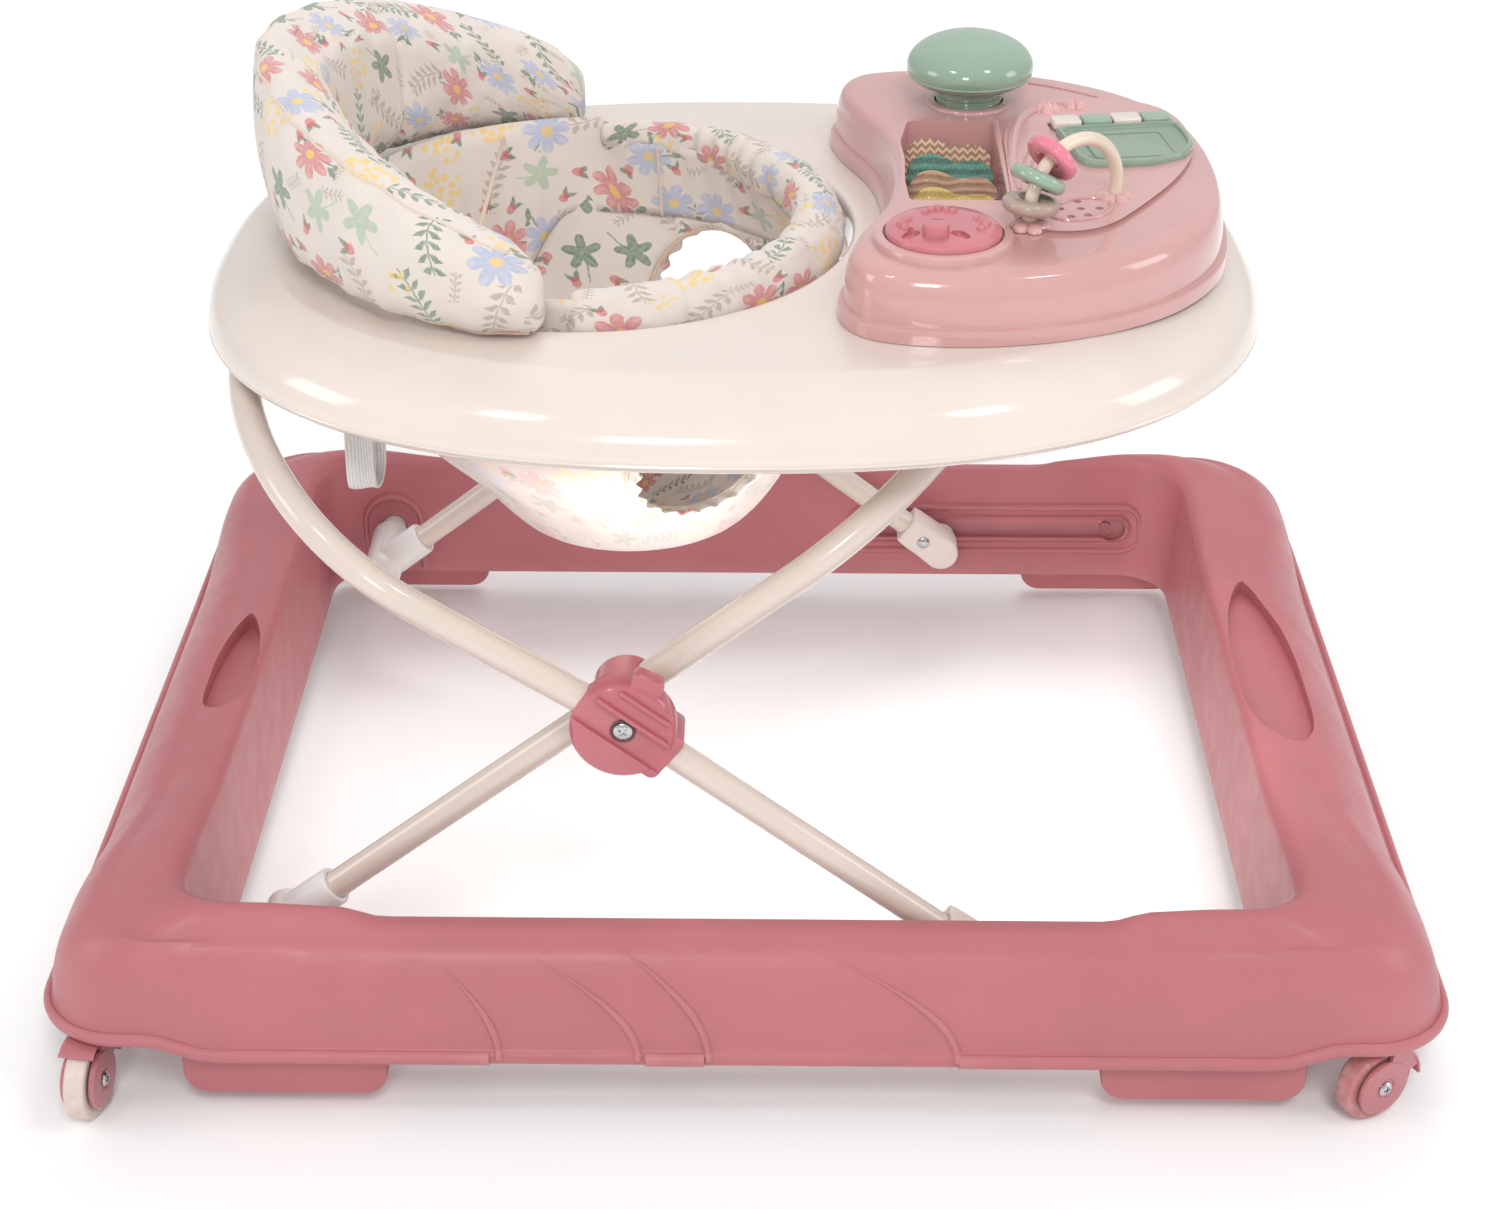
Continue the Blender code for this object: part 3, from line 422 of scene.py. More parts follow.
    # fillers, only where no large motif is close
    small = cells(hand_drawn, 0.0150, small_offset, 0.6)
    x, y, pick, third = local(small, small_offset)
    home = net.vector_math("SUBTRACT", small.outputs["Position"], small_offset)
    near = Sig(net, cells(home, big_pitch, big_offset, 0.42).outputs["Distance"])
    clear = (near * big_pitch).above(0.0145)
    r = radius_of(x, y)
    bud = inside(0.0032 - net.math("SQRT", x * x + y * y * 1.7))
    lx, ly = turned(x * -1.0, y, 30.0)
    rx, ry = turned(x * -1.0, y, -30.0)
    sepal = leaf(lx, ly, 0.0072, 0.0030).at_least(leaf(rx, ry, 0.0072, 0.0030))
    buds = clear * pick.below(0.45)
    colour = paint(colour, sepal * buds, PRINT_GREEN, 0.85)
    colour = paint(colour, bud * buds, PRINT_PINK, 0.80)
    fern = sprig(x, y, 0.014, 0.0030, 0.0040, 0.0016)
    colour = paint(colour, fern * clear * between(pick, 0.45, 0.75), PRINT_TWIG, 0.55)
    fleck = inside(0.0018 - Sig(net, dots.outputs["Distance"]) * 0.0058) * r.below(0.007)
    colour = paint(colour, fleck * clear * pick.above(0.75), PRINT_YELLOW, 0.8)

    # Painted shade: where the fold noise is low, in the hollows of the fold bump, the cloth is darkened
    # slightly.
    fold = net.noise(26.0, 4.0, cloth, 0.6)
    colour = net.mix(net.ramp(fold, 0.25, 0.75, 0.10, 0.0), colour, (0.55, 0.44, 0.38), "MULTIPLY")
    normal = woven(net)
    normal = net.bump(fold, 0.30, 0.004, normal)
    net.set(Base_Color=colour, Roughness=0.85, Normal=normal)
    net.shader.inputs["Sheen Weight"].default_value = 0.25
    net.shader.inputs["Sheen Roughness"].default_value = 0.5
    net.shader.inputs["Specular IOR Level"].default_value = 0.25
    return net.material


def plain_cloth(name, colour):
    net = Net(name)
    slub = net.noise(180.0, 4.0, net.place("UV"))
    dark = tuple(c * 0.86 for c in colour)
    net.set(Base_Color=net.mix(slub, dark, colour), Roughness=0.82,
            Normal=net.bump(net.noise(60.0, 4.0), 0.4, 0.002, woven(net)))
    net.shader.inputs["Sheen Weight"].default_value = 0.3
    return net.material


def banded_plastic(name, colour, dark, kind):
    """Leaf plastic with a moulded relief: zigzag, scales or ribs."""
    net = Net(name)
    x, y, z = net.split(net.place("Object"))
    if kind == "zigzag":
        saw = net.math("PINGPONG", x, 0.0022)
        lines = ((z - saw * 0.9) * (2.0 * math.pi / 0.0034)).sine()
    elif kind == "scales":
        lines = (x * (2.0 * math.pi / 0.005)).sine().size() * (z * (2.0 * math.pi / 0.005)).sine()
    else:
        lines = (z * (2.0 * math.pi / 0.0036) + (x * 260.0).sine() * 0.8).sine()
    mask = net.ramp(lines, -0.3, 0.4)
    net.set(Base_Color=net.mix(mask, dark, colour), Roughness=0.35,
            Normal=net.bump(lines, 0.5, 0.0006))
    net.shader.inputs["Coat Weight"].default_value = 0.25
    return net.material


MAT = {
    "base": plastic("base_plastic", PINK, 0.42, 0.05, grain=0.22, mottle=0.035),
    "pad": plastic("pad_plastic", PINK, 0.5, 0.0, grain=0.2),
    "hub": plastic("hub_plastic", DEEP_PINK, 0.22, 0.35, grain=0.12),
    "caster": plastic("caster_plastic", PINK, 0.20, 0.3),
    "tray": plastic("tray_plastic", CREAM, 0.15, 0.6, grain=0.05, mottle=0.02),
    "tube": plastic("tube_paint", TUBE_CREAM, 0.20, 0.5, grain=0.12, mottle=0.02),
    "fitting": plastic("fitting_plastic", CREAM, 0.38, 0.1),
    "boss": plastic("boss_plastic", WHITE, 0.35, 0.2),
    "console": plastic("console_plastic", PALE_PINK, 0.14, 0.6, grain=0.05, mottle=0.025),
    "flower": plastic("flower_plastic", (0.66, 0.375, 0.365), 0.12, 0.8, grain=0.03),
    "well": plastic("well_plastic", (0.62, 0.30, 0.30), 0.30, 0.2),
    "dial": plastic("dial_plastic", (0.55, 0.175, 0.20), 0.22, 0.5),
    "mint": plastic("mint_plastic", MINT, 0.12, 0.8, grain=0.03, mottle=0.03),
    "mint_panel": plastic("mint_panel_plastic", (0.25, 0.325, 0.250), 0.3, 0.2),
    "arch": plastic("arch_plastic", (0.72, 0.61, 0.49), 0.2, 0.5),
    "taupe": plastic("taupe_plastic", TAUPE, 0.2, 0.5),
    "rose": plastic("rose_plastic", ROSE, 0.15, 0.7),
    "board": plastic("board_lacquer", (0.05, 0.22, 0.10), 0.4, 0.2),
    "black": plastic("speaker_cone", (0.03, 0.03, 0.03), 0.6, 0.0),
    "gap": plastic("shadow_gap", (0.10, 0.03, 0.035), 0.7, 0.0),
    "steel": screw_steel("screw_steel"),
    "tread": rubber("tread_rubber", (0.62, 0.50, 0.44)),
    "tread_pink": rubber("tread_rubber_pink", (0.46, 0.17, 0.17)),
    "print": printed_cloth("floral_cotton"),
    "sheer": printed_cloth("floral_cotton_back", (0.56, 0.475, 0.435), 0.40),
    "trim": plain_cloth("bias_trim", (0.62, 0.48, 0.37)),
    "webbing": webbing_material("strap_webbing"),
    "seam": plain_cloth("seam_thread", (0.70, 0.58, 0.48)),
    "leaf_1": banded_plastic("leaf_tan", (0.60, 0.40, 0.28), (0.30, 0.17, 0.10), "zigzag"),
    "leaf_2": banded_plastic("leaf_green", (0.10, 0.24, 0.18), (0.05, 0.13, 0.10), "scales"),
    "leaf_3": banded_plastic("leaf_brown", (0.42, 0.26, 0.17), (0.28, 0.16, 0.10), "ribs"),
    "leaf_4": banded_plastic("leaf_mustard", (0.56, 0.42, 0.13), (0.36, 0.25, 0.07), "scales"),
}


# ---------------------------------------------------------------- mesh helpers
def turns(count):
    """Angles of equal steps round a full circle."""
    return [2 * math.pi * i / count for i in range(count)]


def smooth_step(t):
    t = min(max(t, 0.0), 1.0)
    return t * t * (3.0 - 2.0 * t)


def catmull(points, per_span, closed=False):
    """Catmull-Rom curve through points of any dimension."""
    points = [Vector(p) for p in points]
    count = len(points)
    out = []
    for i in range(count if closed else count - 1):
        if closed:
            p0, p1, p2, p3 = (points[(i + k - 1) % count] for k in range(4))
        else:
            p0, p1, p2, p3 = (points[min(max(i + k - 1, 0), count - 1)] for k in range(4))
        for step in range(per_span):
            t = step / per_span
            out.append(0.5 * ((2 * p1) + (p2 - p0) * t + (2 * p0 - 5 * p1 + 4 * p2 - p3) * t * t
                              + (3 * p1 - p0 - 3 * p2 + p3) * t ** 3))
    if not closed:
        out.append(points[-1])
    return out


def signed_power(value, power):
    return math.copysign(abs(value) ** power, value)


def skin(rows, closed=False, caps=False, into=None):
    """Quads between rings of points. closed joins the last ring to the first, caps fills both ends."""
    bm = into or bmesh.new()
    grid = [[bm.verts.new(p) for p in row] for row in rows]
    pairs = list(zip(grid, grid[1:])) + ([(grid[-1], grid[0])] if closed else [])
    count = len(rows[0])
    new = []
    for lower, upper in pairs:
        for i in range(count):
            j = (i + 1) % count
            new.append(bm.faces.new((lower[i], lower[j], upper[j], upper[i])))
    if caps:
        new.append(bm.faces.new(list(reversed(grid[0]))))
        new.append(bm.faces.new(grid[-1]))
    if caps or closed:
        bmesh.ops.recalc_face_normals(bm, faces=new)
    return bm


def shade(obj, sharp):
    obj.data.shade_smooth()
    obj.data.set_sharp_from_angle(angle=math.radians(sharp))


def raw_object(name, bm):
    mesh = bpy.data.meshes.new(name)
    bm.to_mesh(mesh)
    bm.free()
    obj = bpy.data.objects.new(name, mesh)
    bpy.context.scene.collection.objects.link(obj)
    return obj


def bake(obj):
    """Turn the modifiers into mesh."""
    depsgraph = bpy.context.evaluated_depsgraph_get()
    mesh = bpy.data.meshes.new_from_object(obj.evaluated_get(depsgraph))
    obj.modifiers.clear()
    obj.data = mesh
    return obj


def piece(name, bm, material, body, stands_for=(), sharp=35.0):
    """A finished visual piece that rides on a body."""
    obj = bm if isinstance(bm, bpy.types.Object) else raw_object(name, bm)
    obj.name = name
    obj.data.materials.clear()
    obj.data.materials.append(MAT[material])
    shade(obj, sharp)
    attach(obj, body)
    if stands_for:
        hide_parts(*stands_for)
    return obj


def aim(direction):
    return Vector(direction).to_track_quat("Z", "Y").to_matrix().to_4x4()


def lathe(profile, place, axis, steps=64, into=None):
    """Turn (radius, height) pairs about an axis; a radius of zero closes the end."""
    bm = into or bmesh.new()
    frame_at = Matrix.Translation(place) @ aim(axis)
    grid = []
    for radius, height in profile:
        if radius < 1e-6:
            grid.append([bm.verts.new(frame_at @ Vector((0, 0, height)))])
        else:
            grid.append([bm.verts.new(frame_at @ Vector((radius * math.cos(a), radius * math.sin(a), height)))
                         for a in turns(steps)])
    new = []
    closed = len(grid[0]) > 1 and len(grid[-1]) > 1
    for lower, upper in list(zip(grid, grid[1:])) + ([(grid[-1], grid[0])] if closed else []):
        for i in range(steps):
            j = (i + 1) % steps
            corners = [lower[i % len(lower)], lower[j % len(lower)],
                       upper[j % len(upper)], upper[i % len(upper)]]
            unique = [v for k, v in enumerate(corners) if v not in corners[:k]]
            if len(unique) > 2:
                new.append(bm.faces.new(unique))
    bmesh.ops.recalc_face_normals(bm, faces=new)
    return bm


def sweep(points, radius, sides=12, closed=False, flat=None, up=None, into=None):
    """Round or flattened bar along a path. flat is (across, thick) instead of a radius."""
    points = [Vector(p) for p in points]
    count = len(points)
    rows = []
    normal = None
    for i, place in enumerate(points):
        before = points[i - 1] if closed or i else place
        after = points[(i + 1) % count] if closed or i < count - 1 else place
        tangent = (after - before).normalized()
        if up is not None:
            lift = Vector(up(place) if callable(up) else up)
            normal = (lift - tangent * lift.dot(tangent)).normalized()
        elif normal is None:
            normal = tangent.orthogonal().normalized()
        else:
            normal = (normal - tangent * normal.dot(tangent)).normalized()
        side = tangent.cross(normal)
        r = radius(i / max(count - 1, 1)) if callable(radius) else radius
        across, thick = flat or (r, r)
        rows.append([place + side * (across * math.cos(a)) + normal * (thick * math.sin(a))
                     for a in turns(sides)])
    return skin(rows, closed=closed, caps=not closed, into=into)


def prism(outline, z_low, z_high, bevel=0.0, steps=3, place=Matrix.Identity(4), into=None):
    """Extruded counter-clockwise outline with rounded top and bottom edges."""
    outline = [Vector(p[:2]) for p in outline]

    def inset(distance):
        count = len(outline)
        out = []
        for i in range(count):
            tangent = (outline[(i + 1) % count] - outline[i - 1]).normalized()
            out.append(outline[i] + Vector((-tangent.y, tangent.x)) * distance)
        return out

    levels = []
    if bevel:
        for k in range(steps + 1):
            angle = math.pi / 2 * k / steps
            levels.append((bevel * (1 - math.sin(angle)), z_low + bevel * (1 - math.cos(angle))))
        levels += [(d, z_low + z_high - z) for d, z in reversed(levels)]
    else:
        levels = [(0.0, z_low), (0.0, z_high)]
    rows = [[place @ Vector((*p, z)) for p in inset(d)] for d, z in levels]
    return skin(rows, caps=True, into=into)


def rounded_box_outline(low, high, radius, steps=5):
    """Counter-clockwise rounded rectangle in the plane."""
    out = []
    for turn, (cx, cy) in enumerate(((high[0] - radius, high[1] - radius),
                                     (low[0] + radius, high[1] - radius),
                                     (low[0] + radius, low[1] + radius),
                                     (high[0] - radius, low[1] + radius))):
        for k in range(steps + 1):
            angle = math.pi / 2 * (turn + k / steps)
            out.append(Vector((cx + radius * math.cos(angle), cy + radius * math.sin(angle))))
    return out


def rounded_outline(points, radius, steps=6):
    """Polygon with its corners rounded by short curves."""
    points = [Vector(p) for p in points]
    out = []
    for i, corner in enumerate(points):
        before, after = points[i - 1] - corner, points[(i + 1) % len(points)] - corner
        start = corner + before.normalized() * min(radius, before.length * 0.49)
        stop = corner + after.normalized() * min(radius, after.length * 0.49)
        for k in range(steps + 1):
            t = k / steps
            out.append(start * (1 - t) ** 2 + corner * (2 * t * (1 - t)) + stop * t * t)
    return out


def boolean(obj, cutter, operation="DIFFERENCE"):
    """Cut or join with a temporary shape, then drop the shape."""
    tool = raw_object("tool", cutter)
    mod = obj.modifiers.new("cut", "BOOLEAN")
    mod.operation, mod.solver, mod.object, mod.use_self = operation, "EXACT", tool, True
    bake(obj)
    bpy.data.objects.remove(tool, do_unlink=True)
    return obj


def solidify(obj, thickness, offset=-1.0, even=True):
    mod = obj.modifiers.new("wall", "SOLIDIFY")
    mod.thickness, mod.offset, mod.use_even_offset = thickness, offset, even
    return bake(obj)


# ---------------------------------------------------------------- base ring
BASE_HALF, BASE_RADIUS = (0.351, 0.279), 0.042
INNER_HALF, INNER_RADIUS = (0.277, 0.240), 0.030
RAIL_TOP, CORNER_RISE = 0.104, 0.004
LIP_LOW, LIP_HIGH = 0.037, 0.047
BASE_WALL = 0.003
BASE_SECTION = catmull(((0.00, 0.00), (-0.01, 0.08), (0.05, 0.13), (0.10, 0.32), (0.22, 0.60), (0.42, 0.83),
                        (0.67, 0.96), (0.87, 1.00), (0.94, 0.95), (0.965, 0.80), (1.00, 0.00)), 4)


def rounded_rectangle(half, radius, side_steps=(64, 48), corner_steps=14):
    """Counter-clockwise outline from the middle of the +X side, with matching stations."""
    hx, hy = half
    out = []
    for side in range(4):
        turn = side * math.pi / 2
        reach = half[side % 2]
        run = (hy - radius, hx - radius)[side % 2]
        steps = side_steps[(side + 1) % 2]
        for i in range(steps):
            along = -run + 2 * run * i / steps
            out.append(Vector((math.cos(turn) * reach - math.sin(turn) * along,
                               math.sin(turn) * reach + math.cos(turn) * along)))
        centre = Vector((math.cos(turn) * (reach - radius) - math.sin(turn) * run,
                         math.sin(turn) * (reach - radius) + math.cos(turn) * run))
        for i in range(corner_steps):
            angle = turn + math.pi / 2 * i / corner_steps
            out.append(centre + Vector((math.cos(angle), math.sin(angle))) * radius)
    return out


def lip_height(x):
    return LIP_LOW + (LIP_HIGH - LIP_LOW) * smooth_step((abs(x) - 0.262) / 0.035)


def base_point(start, stop, across, up):
    """A place on the base ring's skin, between matching outer and inner stations."""
    stop = Vector((stop.x - 0.0070 * smooth_step((stop.x - 0.05) / 0.15), stop.y))
    corner = smooth_step((abs(start.x) - 0.235) / 0.06) * smooth_step((abs(start.y) - 0.13) / 0.09)
    foot = lip_height(start.x) if across < 0.5 else 0.025
    top = RAIL_TOP + CORNER_RISE * corner
    spot = start.lerp(stop, across * (1.0 - 0.55 * corner * (1.0 - across)))
    z = foot + (top - foot) * up
    long_side = smooth_step((abs(start.y) / BASE_HALF[1] - 0.9) / 0.08)
    inner_edge = smooth_step((across - 0.62) / 0.25) * min(max((z - 0.07) / 0.02, 0.0), 1.0)
    shoulder = 0.0055 * smooth_step((abs(spot.x) - 0.178) / 0.022) - 0.0030
    return Vector((spot.x, spot.y, z + shoulder * inner_edge * long_side))


def rail_point(x, side, t):
    """A place on a long rail, t running from 0 at its lip to 1 at its inner foot."""
    k = min(max(t, 0.0), 1.0) * (len(BASE_SECTION) - 1)
    across, up = BASE_SECTION[int(k)].lerp(BASE_SECTION[min(int(k) + 1, len(BASE_SECTION) - 1)], k - int(k))
    shrink = (INNER_HALF[0] - INNER_RADIUS) / (BASE_HALF[0] - BASE_RADIUS)
    start = Vector((x / (1.0 - across * (1.0 - shrink)), side * BASE_HALF[1]))
    stop = Vector((start.x * shrink, side * INNER_HALF[1]))
    return base_point(start, stop, across, up)


SCOOPS = ((0.2962, 0.010, 0.0196, 0.088), (-0.2955, -0.003, 0.0130, 0.052))


def scoop_outline(cx, cy, half_x, half_y, grow=0.0, share=1.0, count=64):
    """Pointed at the far end, blunt at the near one."""
    out = []
    for a in turns(count):
        t = math.sin(a)
        width = (1 - abs(t) ** 1.7) ** 0.72 if t > 0 else (1 - t ** 6) ** 0.62
        out.append(Vector((cx + (half_x * width + grow) * share * math.copysign(1, math.cos(a)),
                           cy + (half_y + grow) * share * t)))
    return out


def scoop_floor(scoop, p):
    """Two flat planes that meet across the scoop, deepest at the crease."""
    cx, cy, half_x, half_y = scoop
    away = abs(p.x) - abs(cx)
    t = (p.y - cy) / half_y
    dip = 0.0030 * (1.0 - (t - 0.25) / 0.75) if t > 0.25 else 0.0030 * (1.0 - (0.25 - t) / 1.25)
    return 0.0930 - 0.16 * away - dip


def scoop_block(scoop, grow, lower, roof):
    rows = [[Vector((p.x, p.y, roof(p))) for p in scoop_outline(*scoop, grow)]]
    for share in (1.0, 0.75, 0.5, 0.25, 0.03):
        rows.append([Vector((p.x, p.y, scoop_floor(scoop, p) - lower))
                     for p in scoop_outline(*scoop, grow, share)])
    return skin(rows, caps=True)


def base_stations():
    """Pairs of matching places on the base ring's outer and inner outlines."""
    return list(zip(rounded_rectangle(BASE_HALF, BASE_RADIUS), rounded_rectangle(INNER_HALF, INNER_RADIUS)))


def upright(y):
    """Stands a flat outline up, so that its own y is the height."""
    return Matrix.Translation((0, y, 0)) @ Matrix.Rotation(math.pi / 2, 4, "X")


def build_base():
    rows = [[base_point(a, b, across, up) for a, b in base_stations()] for across, up in BASE_SECTION]
    sheet = raw_object("base_moulding", skin(rows))
    height_at = surface_height(sheet)
    obj = solidify(sheet, BASE_WALL)
    for scoop in SCOOPS:
        boolean(obj, scoop_block(scoop, 0.0018, 0.0022, lambda p: height_at(p) - 0.0014), "UNION")
    cutter = bmesh.new()
    for side in (-1, 1):
        wall = side * INNER_HALF[1]
        for x, z, r in ((PIVOT.x, PIVOT.z, 0.0084), (0.236, SLIDER.z + 0.001, 0.0088)):
            lathe(((0, -0.016), (r, -0.016), (r, 0.016), (0, 0.016)), (x, wall, z), (0, 1, 0), 40,
                  into=cutter)
        turn = upright(wall)
        prism(rounded_box_outline((0.072, SLIDER.z - 0.0056), (0.236, SLIDER.z + 0.0056), 0.0050),
              -0.016, 0.016, place=turn, into=cutter)
    boolean(obj, cutter)
    for scoop in SCOOPS:
        boolean(obj, scoop_block(scoop, 0.0, 0.0, lambda p: 0.13))
    piece("base_moulding", obj, "base", "base", ("base_ring",), 32)
    build_base_trim()


def surface_height(obj):
    """Height of a sheet above the floor, by looking straight down at it."""
    tree = BVHTree.FromObject(obj, bpy.context.evaluated_depsgraph_get())

    def height_at(p):
        found = tree.ray_cast(Vector((p.x, p.y, 0.2)), Vector((0, 0, -1)))[0]
        return max(found.z, 0.088) if found else RAIL_TOP
    return height_at


# x at the rail's crown, x at its lip, and the section share where the line starts
SWOOSHES = ((-0.1500, -0.1208, 0.47), (-0.1015, -0.0519, 0.48), (-0.0655, -0.0174, 0.55),
            (0.0405, 0.1057, 0.50))


def build_base_trim():
    """Curved steps on the rails, the bead band on the lip, and the frames inside."""
    bm = bmesh.new()
    for side in (-1, 1):
        for x_top, x_low, t_top in SWOOSHES:
            depths = [t_top + (0.07 - t_top) * k / 28 for k in range(29)]
            # how far down each step of the line looks from above and in front
            falls = [0.87 * p.z - 0.5 * abs(p.y) for p in (rail_point(x_top, side, t) for t in depths)]
            path = []
            for t, fall in zip(depths, falls):
                share = (falls[0] - fall) / (falls[0] - falls[-1])
                along = math.sin(share * math.pi / 2) ** 0.9
                path.append(rail_point(x_top + (x_low - x_top) * along, side, t))
            sweep(path, lambda s: 0.0021 * (0.20 + 0.80 * smooth_step(s * 2.0)), 8, into=bm)
    spans = ((SWOOSHES[3][1], SWOOSHES[0][1]), (SWOOSHES[1][1], SWOOSHES[2][1]))

    def bead_here(p):
        if abs(p.y) < BASE_HALF[1] - 0.001:
            return True
        return p.x > spans[0][0] or p.x < spans[0][1] or spans[1][0] < p.x < spans[1][1]

    run = []
    stations = base_stations()
    start = next(i for i, (p, _) in enumerate(stations) if not bead_here(p))
    for k in range(len(stations) + 1):
        a, b = stations[(start + k) % len(stations)]
        if bead_here(a) and k < len(stations):
            run.append(base_point(a, b, 0.004, 0.050))
            continue
        if len(run) > 3:
            sweep(run, 0.001, 12, flat=(0.0038, 0.0030), up=outward, into=bm)
        run = []
    piece("base_emboss", bm, "base", "base")

    frames = bmesh.new()
    for side in (-1, 1):
        wall = side * (INNER_HALF[1] + 0.0022)
        turn = upright(wall)
        loop = [turn @ Vector((*p, 0)) for p in rounded_box_outline(
            (0.0635, SLIDER.z - 0.0145), (0.2535, SLIDER.z + 0.0175), 0.0115, 8)]
        sweep(loop, 0.001, 10, closed=True, flat=(0.0024, 0.0042), up=(0, -side, 0), into=frames)
        inner_loop = [turn @ Vector((*p, 0)) for p in rounded_box_outline(
            (0.0690, SLIDER.z - 0.0085), (0.2470, SLIDER.z + 0.0105), 0.0080, 8)]
        sweep(inner_loop, 0.001, 8, closed=True, flat=(0.0010, 0.0034), up=(0, -side, 0), into=frames)
        prism(rounded_box_outline((0.062, SLIDER.z - 0.0130), (0.252, SLIDER.z + 0.0160), 0.0060),
              -side * 0.0075 - 0.0008, -side * 0.0075 + 0.0008,
              place=upright(side * INNER_HALF[1]), into=frames)
        arch = []
        for k in range(25):
            a = math.pi * k / 24
            arch.append(Vector((PIVOT.x + 0.0185 * math.cos(a), wall,
                                PIVOT.z + 0.004 + 0.0185 * math.sin(a))))
        arch = [arch[0] - Vector((0, 0, 0.034))] + arch + [arch[-1] - Vector((0, 0, 0.034))]
        sweep(arch, 0.001, 10, flat=(0.0024, 0.0042), up=(0, -side, 0), into=frames)
    piece("base_frames", frames, "base", "base")
    for label, sx, sy in CORNERS:
        low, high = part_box("stop_block_" + label)
        turn = Matrix.Rotation(math.pi / 2, 4, "X")
        outline = rounded_box_outline((low.x, low.z), (high.x, high.z + 0.02), 0.0125, 8)
        wall_y = sy * 0.2718
        body = prism(outline, -abs(wall_y), -abs(wall_y) + 0.0268, 0.0012,
                     place=Matrix.Scale(sy, 4, (0, 1, 0)) @ turn)
        bmesh.ops.bisect_plane(body, geom=body.verts[:] + body.edges[:] + body.faces[:],
                               plane_co=(0, 0, 0.0405), plane_no=(0, 0, 1), clear_outer=True)
        bmesh.ops.recalc_face_normals(body, faces=body.faces)
        piece("stop_pad_" + label, body, "pad", "base", ("stop_block_" + label,))
        dot = lathe(((0, 0.0006), (0.0006, 0.0005), (0.0010, 0.0), (0.0010, -0.002), (0, -0.002)),
                    (sx * 0.2130, sy * 0.2722, 0.0345), (0, sy, 0), 16)
        piece("pad_pin_" + label, dot, "boss", "base")


def outward(p):
    """Level direction away from the base ring's middle line at a place on its rim."""
    flat = Vector((p.x, p.y, 0.0))
    core = Vector((max(-BASE_HALF[0] + BASE_RADIUS, min(BASE_HALF[0] - BASE_RADIUS, p.x)),
                   max(-BASE_HALF[1] + BASE_RADIUS, min(BASE_HALF[1] - BASE_RADIUS, p.y)), 0.0))
    return (flat - core).normalized()


# ---------------------------------------------------------------- casters
CASTER_YAW = {"front_near": 212.0, "rear_near": 262.0, "front_far": 148.0, "rear_far": 98.0}
STEM, TRAIL, WHEEL_R, WHEEL_HALF = (0.326, 0.259), 0.0135, 0.021, 0.00525


